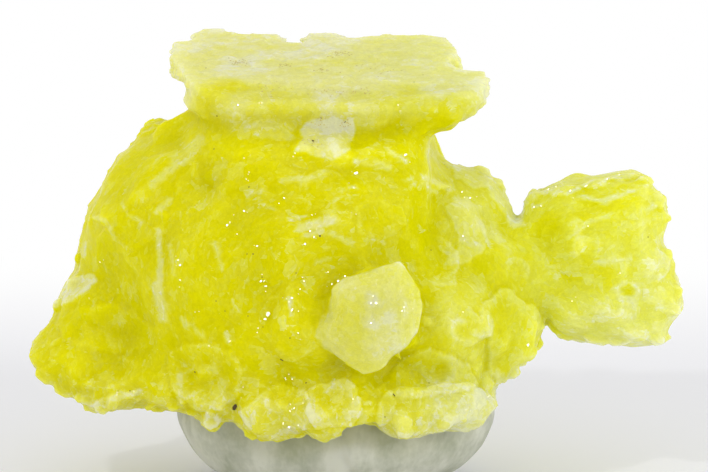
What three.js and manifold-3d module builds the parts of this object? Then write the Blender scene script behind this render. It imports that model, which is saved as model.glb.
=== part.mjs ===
// A yellow brucite specimen standing on a lump of grey display putty.
// Millimetres, +Z up. The origin is the centre of the putty's flat underside, and the
// specimen's display side faces -Y. The crystals grew together, so they are one solid.
import * as THREE from "three";
import { MeshSurfaceSampler } from "three/addons/math/MeshSurfaceSampler.js";
import { mergeVertices } from "three/addons/utils/BufferGeometryUtils.js";
import Module from "manifold-3d";

const wasm = await Module();
wasm.setup();

// ---------- driving dimensions ----------

// The rounded masses that flow into each other as the specimen's body.
const BODY_MASSES = [
  { at: [-3.8, 0, 17.8], half: [12.8, 11.4, 10] }, // dome's core
  { at: [-9.7, 0.5, 19.3], half: [8.9, 9.8, 8.9] }, // its left half
  { at: [-1.2, -3.2, 22.4], half: [9, 7.6, 6] }, // crown, below the slab
  { at: [4.4, 0.6, 23], half: [4.2, 7, 4.6] }, // its right side
  { at: [-1.4, 3.4, 24.6], half: [8.4, 6.6, 4.4] }, // its back
  { at: [-2, 0, 27.3], half: [8.5, 8, 2.6] }, // what the slab grew on
  { at: [-6, -3.9, 26.4], half: [4.4, 5, 2.9] }, // its front, from left to right
  { at: [-1.5, -4.2, 26.4], half: [4.4, 5.2, 2.9] },
  { at: [2.8, -3.9, 26.2], half: [4.2, 4.8, 2.8] },
  { at: [9.6, 0.5, 20.2], half: [3.8, 5.4, 3.8] }, // right shoulder
  { at: [11.4, -0.4, 16.6], half: [3.6, 6, 3.8] }, // below it, where the tail grew
  { at: [-3, -1.8, 13.6], half: [13, 10.6, 6] }, // front belly
  { at: [7.6, -1.5, 13.4], half: [6.2, 8.4, 5.4] }, // lower right
  { at: [-16.1, 1, 17.8], half: [3.4, 5, 3.5] }, // left shoulder
  { at: [-5, 5.5, 14], half: [11.6, 7.6, 6.4] }, // back
  { at: [5.5, 6, 15.5], half: [6.6, 6, 5.6] }, // back right
  { at: [-17, -0.5, 13.9], half: [4, 5.4, 2.6] }, // skirt, from the left round the front
  { at: [-19.6, -2, 10.3], half: [3.6, 4.6, 2.3] },
  { at: [-16.6, -3, 8.8], half: [3.7, 4.6, 2.5] },
  { at: [-12.4, -5, 9.2], half: [2.9, 4.8, 2.5] },
  { at: [-9.2, -7, 8.3], half: [2.3, 3.8, 1.8] },
  { at: [-5, -8.8, 7.9], half: [2.7, 3.8, 2.4] },
  { at: [-1.3, -9.4, 8.1], half: [2.3, 3.4, 2] },
  { at: [1.8, -9.3, 8.7], half: [2, 3.4, 1.7] },
  { at: [5.5, -8.4, 7.6], half: [2.5, 3.8, 2.3] },
  { at: [9, -6.4, 7.7], half: [2.5, 3.8, 2] },
  { at: [10.4, -3, 8.6], half: [1.6, 3.8, 2] },
  { at: [12.4, -1.6, 11], half: [2.2, 4.2, 2.2] },
  { at: [13.3, -1, 13.4], half: [2.2, 4, 2.4] },
];
const BODY_CENTRE = new THREE.Vector3(-2.5, -0.5, 14.5);
const BODY_DETAIL = 13;
const BLEND = 0.65; // how softly the masses flow into each other

// The tail: its outline as [x, z], bulging to both sides, and the neck that carries it.
const TAIL_OUTLINE = [
  [14, 18.8], [14.5, 21.8], [15.6, 22.4], [17.1, 23.1], [19, 23.7], [20.1, 23.9],
  [21.7, 24.1], [23.1, 24], [24, 23.5], [24.1, 22.5], [25, 22.3], [25, 21.4],
  [25.5, 20.5], [24.9, 19.1], [24.8, 18.3], [25.6, 18.1], [25.7, 16.4], [26.1, 16],
  [26.4, 14.5], [26.4, 13.7], [25.8, 12.7], [25.3, 12.1], [25.1, 10.8], [23.2, 10.6],
  [20.1, 11.2], [17.9, 11.6], [16.8, 12], [16.3, 12.9], [15.9, 13.6],
];
const TAIL_CENTRE = new THREE.Vector3(20.4, 0, 17.3);
const TAIL_DEPTH = 4.9; // half of its thickness at the middle
const TAIL_DETAIL = 6;
const TAIL_ROOT = new THREE.Vector3(13.5, 0, 17.4); // where its blades fan out from
const NECK = { at: [14.8, 0, 16.9], half: [4.6, 4.9, 4.1], detail: 3 };

// The flat slab on top: its outline as [x, distance behind the front edge].
const SLAB_OUTLINE = [
  [-12.4, 9.8], [-11.8, 12.8], [-10.8, 14.4], [-10.3, 17.6], [-8.6, 17.2],
  [-8.1, 15.4], [-4.3, 16.1], [-3.9, 14], [-2.4, 13.5], [-2.1, 16.1], [-0.4, 15.8],
  [1.1, 14.4], [4.6, 14.9], [8.5, 15.1], [9.3, 12.1], [9.3, 10.3], [8.6, 8.9],
  [8.7, 7.9], [9.7, 6.8], [11.6, 6.1], [11.8, 3.7], [11.5, 1.9], [10.6, 0.7],
  [8, 0], [5.2, 0.5], [2, 0.2], [-2.4, 0.7], [-7.6, 0.5], [-10.3, 1.9], [-11, 2.3],
  [-11.6, 4.7],
];
const SLAB_FRONT = [0, -8, 31.1]; // the middle of its upper front edge
const SLAB_TILT = THREE.MathUtils.degToRad(9); // towards the display side
// Plates from the top down: how thick, how large beside the outline, and moved by [x, y].
const SLAB_PLATES = [
  { thick: 1.1, scale: [1, 1], move: [0, 0] },
  { thick: 0.9, scale: [0.92, 0.94], move: [-0.2, 0] },
  { thick: 1.1, scale: [0.78, 0.86], move: [-0.1, 0.4] },
];

// The pale rosette on the display side: its outline as [x, z] from its middle.
const ROSETTE_OUTLINE = [
  [2, 4.1], [3, 3.2], [3.6, 2], [4, 0.5], [3.6, -1.3], [2.9, -2.6], [1.7, -2.9],
  [1.1, -3.7], [-0.8, -4.2], [-2.3, -3], [-3.9, -1.5], [-3.4, 0.5], [-3, 2.3],
  [-2.1, 3], [0, 3.8],
];
const ROSETTE_AT = [2.8, -13.3, 15.2];
const ROSETTE_LEAN = THREE.MathUtils.degToRad(5); // its top leans back
const ROSETTE_PLATES = [
  { thick: 0.35, scale: [0.62, 0.6], move: [0.2, 0.3] },
  { thick: 0.45, scale: [0.86, 0.84], move: [0, 0.1] },
  { thick: 0.7, scale: [1, 1], move: [0, 0] },
  { thick: 2.4, scale: [0.88, 0.88], move: [0, 0] },
];

// Clusters of small crystals: the pale patch under the slab, and a round knob.
const PATCH = { at: [-0.8, -8.9, 27.6], half: [2, 0.7, 1.3], count: 9 };
const KNOB = { at: [-9.1, -8.4, 6.4], half: [0.8, 0.8, 0.75], detail: 2 };

// The crystal faces in the skin: how many, how steeply each lifts its edge away from the
// arcs' pole, and how far neighbours step in or out.
const ARC_POLE = new THREE.Vector3(-0.4, -12, 16.3);
const BODY_FACETS = { count: 420, slope: 0.2, levels: 0.36 };
const TAIL_FACETS = { count: 90, slope: 0.16, levels: 0.3 };
const BODY_BLADES = 22; // crystals that stand clear of the skin
const FRINGE_BLADES = 16;
const TAIL_BLADES = 8;

// The putty: [radius, height] up its side, its middle, and the gap below the specimen.
const PUTTY_PROFILE = [
  [6.9, 0], [10, 0.9], [11.9, 2.8], [12.6, 4.9], [12.2, 6.6], [11, 8], [9.4, 9.6],
];
const PUTTY_MIDDLE = [0, 1];
const PUTTY_DEPTH_SHARE = 0.78; // its size front to back beside its width
const PUTTY_SPOKES = 30;
const PUTTY_GAP = 0.3;

// ---------- helpers ----------

// A repeatable random generator: one seed always gives the same crystals.
function randomFrom(seed) {
  let state = seed;
  return () => {
    state = (state + 0x6d2b79f5) | 0;
    let t = Math.imul(state ^ (state >>> 15), 1 | state);
    t = (t + Math.imul(t ^ (t >>> 7), 61 | t)) ^ t;
    return ((t ^ (t >>> 14)) >>> 0) / 4294967296;
  };
}

// A fixed value from 0 to 1 for each point of a whole-number lattice.
function latticeValue(i, j, k) {
  const wave = Math.sin(i * 127.1 + j * 311.7 + k * 74.7) * 43758.5453;
  return wave - Math.floor(wave);
}

// Smooth noise from -1 to 1, with bumps about one pitch across.
function noise(point, pitch) {
  const scaled = point.toArray().map((value) => value / pitch);
  const cell = scaled.map(Math.floor);
  const [u, v, w] = scaled.map((value, n) => {
    const t = value - cell[n];
    return t * t * (3 - 2 * t);
  });
  const corner = (di, dj, dk) => latticeValue(cell[0] + di, cell[1] + dj, cell[2] + dk);
  const row = (dj, dk) => THREE.MathUtils.lerp(corner(0, dj, dk), corner(1, dj, dk), u);
  const face = (dk) => THREE.MathUtils.lerp(row(0, dk), row(1, dk), v);
  return 2 * THREE.MathUtils.lerp(face(0), face(1), w) - 1;
}

function solidOf(geometry) {
  geometry.deleteAttribute("normal");
  geometry.deleteAttribute("uv");
  const merged = mergeVertices(geometry, 1e-4);
  return new wasm.Manifold(
    new wasm.Mesh({
      numProp: 3,
      vertProperties: merged.attributes.position.array,
      triVerts: new Uint32Array(merged.index.array),
    }),
  );
}

function geometryOf(solid) {
  const mesh = solid.getMesh();
  return new THREE.BufferGeometry()
    .setAttribute("position", new THREE.BufferAttribute(mesh.vertProperties, 3))
    .setIndex(new THREE.BufferAttribute(mesh.triVerts, 1));
}

// One solid from many that overlap; spaces sealed inside it are filled.
function joined(solids) {
  const pieces = wasm.Manifold.union(solids).decompose();
  return pieces.reduce((most, piece) => (piece.volume() > most.volume() ? piece : most));
}

// Moves every vertex of a geometry to where the given function puts it.
function reshaped(geometry, move) {
  const places = geometry.attributes.position;
  const point = new THREE.Vector3();
  for (let i = 0; i < places.count; i++) {
    point.fromBufferAttribute(places, i);
    move(point);
    places.setXYZ(i, point.x, point.y, point.z);
  }
  return geometry;
}

// ---------- crystal forms ----------

// A small rounded mass with an uneven, faceted skin.
function lump({ at, half, detail }, wobble = 0.08) {
  const centre = new THREE.Vector3(...at);
  const size = new THREE.Vector3(...half);
  const ball = new THREE.IcosahedronGeometry(1, detail);
  return solidOf(
    reshaped(ball, (p) => {
      const place = p.clone().multiply(size).add(centre);
      const swell = wobble * (noise(place, 3.1) + 0.6 * noise(place, 1.3));
      p.multiplyScalar(1 + swell).multiply(size).add(centre);
    }),
  );
}

// A flat plate whose outline is [x, y] points, from z = 0 down to -thick.
function plate(outline, thick) {
  const shape = new THREE.Shape(outline.map(([x, y]) => new THREE.Vector2(x, y)));
  const options = { depth: thick, bevelEnabled: false };
  return new THREE.ExtrudeGeometry(shape, options).translate(0, 0, -thick);
}

// Plates on each other, stepping in or out like the growth ledges of a crystal. The
// lower ones wander a little from the outline.
function platePile(outline, plates, matrix) {
  let level = 0;
  const solids = plates.map(({ thick, scale, move }, n) => {
    const points = outline.map(([x, y]) => {
      const stray = n * 0.2 * noise(new THREE.Vector3(x, y, 5 * n), 1.6);
      return [x * scale[0] + move[0] + stray, y * scale[1] + move[1] - stray];
    });
    const geometry = plate(points, thick + 0.1).translate(0, 0, level);
    level -= thick;
    return solidOf(geometry.applyMatrix4(matrix));
  });
  return joined(solids);
}

// A six-sided flat crystal around the origin, its long side along X, its face up.
function flatCrystal(long, wide, thick) {
  const outline = [
    [-0.5 * long, -0.1 * wide], [-0.3 * long, -0.5 * wide], [0.27 * long, -0.5 * wide],
    [0.5 * long, 0.05 * wide], [0.32 * long, 0.5 * wide], [-0.3 * long, 0.5 * wide],
  ];
  return plate(outline, thick).translate(0, 0, thick / 2);
}

// The matrix that puts +X along one direction and +Z as near as it can to another.
function placed(origin, along, up) {
  const x = along.clone().normalize();
  const y = new THREE.Vector3().crossVectors(up, x).normalize();
  const z = new THREE.Vector3().crossVectors(x, y);
  return new THREE.Matrix4().makeBasis(x, y, z).setPosition(origin);
}

// ---------- the body ----------

// About how far a point is outside the body's masses, blended where they meet.
function bodyDistance(point) {
  let sum = 0;
  const offset = new THREE.Vector3();
  for (const { at, half } of BODY_MASSES) {
    offset.set(point.x - at[0], point.y - at[1], point.z - at[2]);
    const [a, b, c] = half;
    const near = Math.hypot(offset.x / a, offset.y / b, offset.z / c);
    const steep = Math.hypot(offset.x / a ** 2, offset.y / b ** 2, offset.z / c ** 2);
    sum += Math.exp(-((near * (near - 1)) / steep) / BLEND);
  }
  return -BLEND * Math.log(sum);
}

// The body's skin: where each ray from the centre leaves the blended masses.
function bodyGeometry() {
  const ball = new THREE.IcosahedronGeometry(1, BODY_DETAIL);
  const place = new THREE.Vector3();
  return reshaped(ball, (p) => {
    let inside = 2;
    let outside = 26;
    while (outside - inside > 0.01) {
      const middle = (inside + outside) / 2;
      place.copy(BODY_CENTRE).addScaledVector(p, middle);
      if (bodyDistance(place) < 0) {
        inside = middle;
      } else {
        outside = middle;
      }
    }
    place.copy(BODY_CENTRE).addScaledVector(p, inside);
    p.multiplyScalar(inside + 0.6 * noise(place, 3.4)).add(BODY_CENTRE);
  });
}

// Random places on a skin, with the way out of it: [{ point, normal }].
function placesOn(geometry, count, seed) {
  const flat = geometry.index ? geometry.toNonIndexed() : geometry;
  flat.computeVertexNormals();
  const sampler = new MeshSurfaceSampler(new THREE.Mesh(flat));
  sampler.setRandomGenerator(randomFrom(seed)).build();
  return Array.from({ length: count }, () => {
    const point = new THREE.Vector3();
    const normal = new THREE.Vector3();
    sampler.sample(point, normal);
    return { point, normal };
  });
}

// The skin broken up into crystal faces: every point follows its nearest crystal, whose
// face steps in or out and leans so that its edge far from the arcs' pole is lifted.
function crystalFaced(geometry, middle, { count, slope, levels }, seed) {
  const random = randomFrom(seed);
  const crystals = placesOn(geometry, count, seed).map(({ point }) => {
    const lean = point.clone().sub(ARC_POLE).normalize();
    lean.x += 0.8 * (random() - 0.5);
    lean.z += 0.8 * (random() - 0.5);
    return { point, lean, level: levels * (random() - 0.5) };
  });
  const offset = new THREE.Vector3();
  return reshaped(geometry, (p) => {
    let best = Infinity;
    let nearest;
    for (const crystal of crystals) {
      const far = crystal.point.distanceToSquared(p);
      if (far < best) {
        best = far;
        nearest = crystal;
      }
    }
    offset.subVectors(p, nearest.point);
    const lift = nearest.level + slope * offset.dot(nearest.lean);
    p.addScaledVector(offset.subVectors(p, middle).normalize(), lift);
  });
}

// Flat crystals shingled over the dome, their long sides along arcs around the pole.
function bodyCrystals(skin) {
  const random = randomFrom(21);
  const facing = new THREE.Vector3(0, 1, 0);
  const high = placesOn(skin, 8 * BODY_BLADES, 5)
    .filter(({ point, normal }) => point.z > 10.5 && normal.z > -0.3)
    .slice(0, BODY_BLADES);
  return high.map(({ point, normal }) => {
    const away = point.clone().sub(ARC_POLE).setY(0).normalize();
    const arc = new THREE.Vector3().crossVectors(facing, away);
    const face = normal.clone().addScaledVector(away, -0.1 - 0.2 * random()).normalize();
    const along = arc.addScaledVector(face, -arc.dot(face));
    const centre = point.clone().addScaledVector(normal, -0.4 + 0.2 * random());
    const size = 2.6 + 2 * random();
    const shape = flatCrystal(size, size * (0.4 + 0.2 * random()), 0.8);
    return solidOf(shape.applyMatrix4(placed(centre, along, face)));
  });
}

// Crystals of the skirt, pointing outwards and a little down.
function fringeCrystals(skin) {
  const random = randomFrom(33);
  const low = placesOn(skin, 16 * FRINGE_BLADES, 8)
    .filter(({ point, normal }) => point.z < 12.5 && normal.z > -0.55 && normal.z < 0.6)
    .slice(0, FRINGE_BLADES);
  return low.map(({ point, normal }) => {
    const side = new THREE.Vector3(random() - 0.5, random() - 0.5, random() - 0.5);
    const along = normal.clone().addScaledVector(side, 0.9);
    const centre = point.clone().addScaledVector(normal, -0.5);
    const size = 1.6 + 1.1 * random();
    const shape = flatCrystal(size, size * 0.9, 0.7);
    return solidOf(shape.applyMatrix4(placed(centre, along, side.cross(along))));
  });
}

// ---------- what grew on the body ----------

function slab() {
  const tilt = new THREE.Matrix4().makeRotationX(SLAB_TILT);
  const matrix = tilt.setPosition(...SLAB_FRONT);
  return platePile(SLAB_OUTLINE, SLAB_PLATES, matrix);
}

function rosette() {
  const upright = new THREE.Matrix4().makeRotationX(Math.PI / 2 - ROSETTE_LEAN);
  const matrix = upright.setPosition(...ROSETTE_AT);
  return platePile(ROSETTE_OUTLINE, ROSETTE_PLATES, matrix);
}

// How far the tail's outline is from its centre, in a direction given in the XZ plane.
function tailReach(angle) {
  const corners = TAIL_OUTLINE.map(([x, z]) => {
    const across = x - TAIL_CENTRE.x;
    const up = z - TAIL_CENTRE.z;
    return { turn: Math.atan2(up, across), far: Math.hypot(across, up) };
  }).sort((first, second) => first.turn - second.turn);
  const after = corners.findIndex(({ turn }) => turn > angle);
  const next = corners[after < 0 ? 0 : after];
  const last = corners.at(after < 0 ? -1 : after - 1);
  const span = THREE.MathUtils.euclideanModulo(next.turn - last.turn, 2 * Math.PI);
  const gone = THREE.MathUtils.euclideanModulo(angle - last.turn, 2 * Math.PI);
  return THREE.MathUtils.lerp(last.far, next.far, gone / span);
}

function tail() {
  const random = randomFrom(11);
  const ball = new THREE.IcosahedronGeometry(1, TAIL_DETAIL);
  const skin = reshaped(ball, (p) => {
    const angle = Math.atan2(p.z, p.x);
    const reach = tailReach(angle) * Math.hypot(p.x, p.z) ** 0.6;
    const side = Math.sign(p.y) * Math.abs(p.y) ** 0.8;
    p.set(Math.cos(angle) * reach, 0, Math.sin(angle) * reach).add(TAIL_CENTRE);
    const turn = Math.atan2(p.z - TAIL_ROOT.z, p.x - TAIL_ROOT.x);
    p.y = side * (TAIL_DEPTH + 0.3 * Math.sin(24 * turn)) + 0.4 * noise(p, 2.2);
  });
  crystalFaced(skin, TAIL_CENTRE, TAIL_FACETS, 3);
  const blades = placesOn(skin, 6 * TAIL_BLADES, 17)
    .filter(({ point }) => Math.abs(point.y) > 3 && point.x < 23)
    .slice(0, TAIL_BLADES)
    .map(({ point, normal }) => {
      const along = point.clone().sub(TAIL_ROOT);
      const face = normal.clone().addScaledVector(along.clone().normalize(), -0.25);
      const centre = point.clone().addScaledVector(normal, -0.4);
      const size = 2 + 1.4 * random();
      const shape = flatCrystal(size, size * 0.45, 0.8);
      return solidOf(shape.applyMatrix4(placed(centre, along, face)));
    });
  return joined([solidOf(skin), lump(NECK), ...blades]);
}

// A cluster of small blocky crystals.
function cluster({ at, half, count }, seed) {
  const random = randomFrom(seed);
  const spread = () => 2 * random() - 1;
  return joined(
    Array.from({ length: count }, () => {
      const centre = new THREE.Vector3(spread(), spread(), spread());
      centre.multiplyScalar(0.75).multiply(new THREE.Vector3(...half));
      centre.add(new THREE.Vector3(...at));
      const along = new THREE.Vector3(spread(), spread(), spread());
      const up = new THREE.Vector3(spread(), -1, spread());
      return solidOf(flatCrystal(1.6, 1.4, 0.9).applyMatrix4(placed(centre, along, up)));
    }),
  );
}

// ---------- the putty ----------

// The faces of a geometry that reach below a height.
function facesBelow(geometry, height) {
  const corners = geometry.toNonIndexed().attributes.position.array;
  const low = [];
  for (let i = 0; i < corners.length; i += 9) {
    if (Math.min(corners[i + 2], corners[i + 5], corners[i + 8]) < height) {
      low.push(...corners.slice(i, i + 9));
    }
  }
  return new THREE.BufferGeometry().setAttribute(
    "position",
    new THREE.Float32BufferAttribute(low, 3),
  );
}

// A rounded lump, pressed to the specimen's underside from below.
function puttyGeometry(specimenGeometry) {
  const top = PUTTY_PROFILE.at(-1)[1];
  const above = new THREE.Mesh(
    facesBelow(specimenGeometry, top + 1),
    new THREE.MeshBasicMaterial({ side: THREE.DoubleSide }),
  );
  const ray = new THREE.Raycaster();
  const up = new THREE.Vector3(0, 0, 1);
  const clearance = (x, y) => {
    ray.set(new THREE.Vector3(x, y, -5), up);
    const [hit] = ray.intersectObject(above);
    return hit ? hit.point.z - PUTTY_GAP : Infinity;
  };
  const topRadii = [7.8, 6.2, 4.6, 3, 1.5, 0];
  const rings = [[0, 0], ...PUTTY_PROFILE, ...topRadii.map((radius) => [radius, top])];
  const outline = rings.map(([radius, height]) => new THREE.Vector2(radius, height));
  const lathe = new THREE.LatheGeometry(outline, PUTTY_SPOKES).rotateX(Math.PI / 2);
  const reach = [-1.2, -0.8, -0.4, 0, 0.4, 0.8, 1.2];
  return reshaped(lathe, (p) => {
    p.set(p.x + PUTTY_MIDDLE[0], p.y * PUTTY_DEPTH_SHARE + PUTTY_MIDDLE[1], p.z);
    if (p.z > 3) {
      const free = reach.flatMap((dx) => reach.map((dy) => clearance(p.x + dx, p.y + dy)));
      p.z = Math.min(p.z, ...free);
    }
  });
}

// ---------- the two parts ----------

const skin = crystalFaced(bodyGeometry(), BODY_CENTRE, BODY_FACETS, 2);
const specimen = joined([
  solidOf(skin),
  ...bodyCrystals(skin),
  ...fringeCrystals(skin),
  slab(),
  rosette(),
  tail(),
  cluster(PATCH, 4),
  lump(KNOB),
]);
const specimenGeometry = geometryOf(specimen);
const group = new THREE.Group();
const parts = [
  { name: "brucite", geometry: specimenGeometry, color: 0xdedc28, roughness: 0.35 },
  {
    name: "putty",
    geometry: geometryOf(solidOf(puttyGeometry(specimenGeometry))),
    color: 0xb8bbac,
    roughness: 0.6,
  },
];
for (const { name, geometry, color, roughness } of parts) {
  const material = new THREE.MeshStandardMaterial({ color, roughness, metalness: 0 });
  const mesh = new THREE.Mesh(geometry, material);
  mesh.name = name;
  group.add(mesh);
}
export default group;
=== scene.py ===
"""The looks of a brucite specimen: translucent yellow crystal plates on grey putty.

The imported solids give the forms. Flat crystals are scattered over them, fused into one
translucent skin, and coloured by how thin the crystal is at each point.
Lengths are millimetres in this script, and metres in the objects that it makes.
"""

import math

import bpy
import numpy as np
from mathutils import Matrix, Vector
from mathutils.bvhtree import BVHTree
from mathutils.kdtree import KDTree


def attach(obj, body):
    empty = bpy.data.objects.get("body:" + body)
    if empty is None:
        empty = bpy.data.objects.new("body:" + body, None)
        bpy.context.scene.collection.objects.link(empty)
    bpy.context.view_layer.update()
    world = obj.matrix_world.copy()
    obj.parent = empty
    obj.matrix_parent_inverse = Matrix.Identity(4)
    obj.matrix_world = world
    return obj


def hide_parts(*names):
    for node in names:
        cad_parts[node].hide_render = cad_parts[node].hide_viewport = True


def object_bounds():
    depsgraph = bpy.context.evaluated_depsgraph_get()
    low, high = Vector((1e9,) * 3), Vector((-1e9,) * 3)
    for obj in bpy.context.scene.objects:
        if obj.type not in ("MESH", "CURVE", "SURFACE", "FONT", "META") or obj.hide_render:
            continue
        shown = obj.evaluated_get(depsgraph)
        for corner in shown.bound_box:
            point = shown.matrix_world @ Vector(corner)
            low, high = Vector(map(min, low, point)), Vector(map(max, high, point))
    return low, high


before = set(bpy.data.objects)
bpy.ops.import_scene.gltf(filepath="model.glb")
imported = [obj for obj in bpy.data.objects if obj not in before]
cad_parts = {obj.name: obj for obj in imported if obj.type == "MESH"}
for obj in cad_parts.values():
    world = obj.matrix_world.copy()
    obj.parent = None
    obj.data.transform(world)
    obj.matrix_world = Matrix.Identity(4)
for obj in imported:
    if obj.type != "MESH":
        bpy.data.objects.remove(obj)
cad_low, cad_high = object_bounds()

MM = 0.001
LOW, HIGH = np.array(cad_low) / MM, np.array(cad_high) / MM

# ---------- the photograph's frame ----------

PICTURE = (708, 472)  # pixels
PITCH = 0.076  # mm that one pixel covers at the specimen
CAMERA_RISE = math.radians(10)  # how far the camera looks down
CAMERA_FAR = 350.0
AIM = np.array([1.444, 0.0, 19.14])  # what the middle of the picture shows
SENSOR = 36.0
NEAREST = 0.01  # m, where the camera starts to see

BACKWARDS = np.array([0, -math.cos(CAMERA_RISE), math.sin(CAMERA_RISE)])
UPWARDS = np.array([0, math.sin(CAMERA_RISE), math.cos(CAMERA_RISE)])
RIGHTWARDS = np.array([1.0, 0, 0])
EYE = AIM + BACKWARDS * CAMERA_FAR

# ---------- the specimen's regions ----------

ARC_POLE = np.array([-0.4, -12.0, 16.3])  # the display side's arcs run around this point
TAIL_ROOT = np.array([13.5, 0.0, 17.4])
TAIL_FROM = 15.6  # x beyond which the tail's blades fan out
SLAB_FRONT = np.array([0, -8.0, 31.1])  # the middle of the slab's upper front edge
SLAB_TILT = math.radians(9)
SLAB_UP = np.array([0, -math.sin(SLAB_TILT), math.cos(SLAB_TILT)])
SLAB_BACK = np.array([0, math.cos(SLAB_TILT), math.sin(SLAB_TILT)])
SLAB_THICK = 3.3
SLAB_DROP = 1.1  # how far its front edge bends down
ROSETTE_AT = np.array([2.8, -13.3, 15.2])
ROSETTE_RADIUS = 4.3
ROSETTE_LEAN = math.radians(5)
ROSETTE_OUT = np.array([0, -math.cos(ROSETTE_LEAN), math.sin(ROSETTE_LEAN)])
PATCH_AT = np.array([-0.8, -8.8, 27.8])  # the pale crust below the slab
KNOB_AT = np.array([-9.2, -8.6, 6.4])  # the small knob below the skirt's left side
# Painted light lifts the shade in these corners.
NECK_CORNERS = [(15.8, 12.8), (13.8, 20.3)]  # x and z of the deep corners beside the neck
PUTTY_FOLD = 0.8  # x of the fold in the putty's front
PUTTY_TAPER = 0.035  # how much narrower the putty is at its foot

# Rings of crystals around a deep middle: the pixel of the middle, and the radius in mm.
CUPS = [
    (463, 331, 1.15), (628, 291, 1.0), (213, 424, 0.78), (282, 252, 0.9), (345, 205, 1.0),
    (120, 372, 1.7), (440, 366, 1.6), (252, 219, 0.9), (205, 384, 1.9), (300, 205, 0.8),
]  # fmt: skip

# Long pale crystals, the palest of them with painted highlights where they catch the lamp:
# the pixels of the two ends, the width in mm, and how pale.
STREAKS = [
    (159, 230, 160, 262, 0.5, 0.75), (161, 260, 159, 286, 0.6, 0.75),
    (157, 286, 163, 318, 0.9, 0.68), (170, 245, 174, 275, 0.35, 0.45),
    (200, 141, 176, 163, 1.1, 0.55), (176, 163, 153, 186, 0.7, 0.65),
    (156, 212, 169, 200, 0.5, 0.7), (300, 228, 332, 220, 0.8, 0.9), (306, 236, 322, 231, 0.5, 0.8),
    (386, 149, 408, 162, 0.4, 0.8), (355, 161, 389, 168, 0.6, 0.65), (419, 175, 450, 189, 0.6, 0.8),
    (408, 180, 436, 192, 0.4, 0.7), (250, 126, 292, 128, 0.6, 0.5), (256, 134, 290, 137, 0.7, 0.55),
    (583, 197, 604, 201, 0.4, 0.9), (604, 201, 633, 191, 0.4, 0.9), (545, 191, 554, 188, 0.3, 1.1),
    (566, 194, 579, 188, 0.35, 1.1), (583, 186, 592, 181, 0.3, 1.1), (599, 182, 609, 178, 0.3, 1.1),
    (612, 177, 620, 175, 0.3, 1.0), (533, 207, 543, 205, 0.3, 1.0), (599, 262, 630, 259, 0.5, 0.85),
    (621, 272, 627, 264, 0.5, 0.7), (576, 230, 590, 221, 0.4, 0.7), (596, 219, 610, 216, 0.4, 0.7),
    (642, 210, 656, 206, 0.4, 0.8), (644, 222, 655, 219, 0.3, 0.7), (216, 243, 222, 268, 0.4, 0.6),
    (330, 232, 352, 244, 0.5, 0.6), (284, 220, 310, 216, 0.25, 0.7), (280, 180, 306, 178, 0.4, 0.6),
    (248, 196, 262, 190, 0.4, 0.6), (301, 182, 311, 177, 0.5, 0.7), (369, 292, 378, 306, 0.3, 1.1),
    (381, 345, 399, 351, 0.4, 0.9), (366, 322, 374, 328, 0.25, 1.0),
    (401, 305, 407, 312, 0.25, 1.0), (94, 217, 106, 221, 0.35, 0.6),
    (106, 221, 114, 238, 0.35, 0.6), (114, 238, 126, 247, 0.3, 0.5), (122, 203, 127, 214, 0.3, 0.5),
    (127, 214, 141, 222, 0.3, 0.5), (84, 243, 84, 256, 0.4, 0.75), (455, 199, 467, 206, 0.5, 0.85),
    (462, 240, 480, 247, 0.6, 0.9), (446, 252, 458, 259, 0.4, 0.7), (483, 230, 489, 246, 0.3, 0.7),
    (470, 221, 484, 226, 0.3, 0.65), (182, 318, 186, 327, 0.5, 0.65),
    (192, 326, 200, 334, 0.5, 0.6), (111, 399, 139, 392, 0.5, 0.8), (180, 376, 180, 404, 0.6, 0.6),
    (226, 331, 230, 344, 0.3, 0.9), (289, 298, 292, 316, 0.4, 0.9), (436, 400, 450, 407, 0.5, 0.9),
    (474, 400, 484, 405, 0.4, 0.9), (455, 384, 478, 388, 0.35, 0.7), (487, 376, 488, 406, 0.9, 0.6),
    (341, 190, 356, 186, 0.3, 0.7), (262, 205, 274, 209, 0.3, 0.6), (372, 238, 384, 243, 0.3, 0.6),
    (617, 287, 625, 281, 0.35, 0.85), (625, 281, 636, 284, 0.35, 0.85),
    (636, 284, 638, 293, 0.35, 0.85), (638, 293, 629, 299, 0.35, 0.8),
    (629, 299, 618, 296, 0.35, 0.8), (618, 296, 617, 287, 0.35, 0.8),
    (318, 262, 330, 258, 0.3, 0.6), (232, 300, 238, 312, 0.3, 0.6),
]  # fmt: skip
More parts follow.
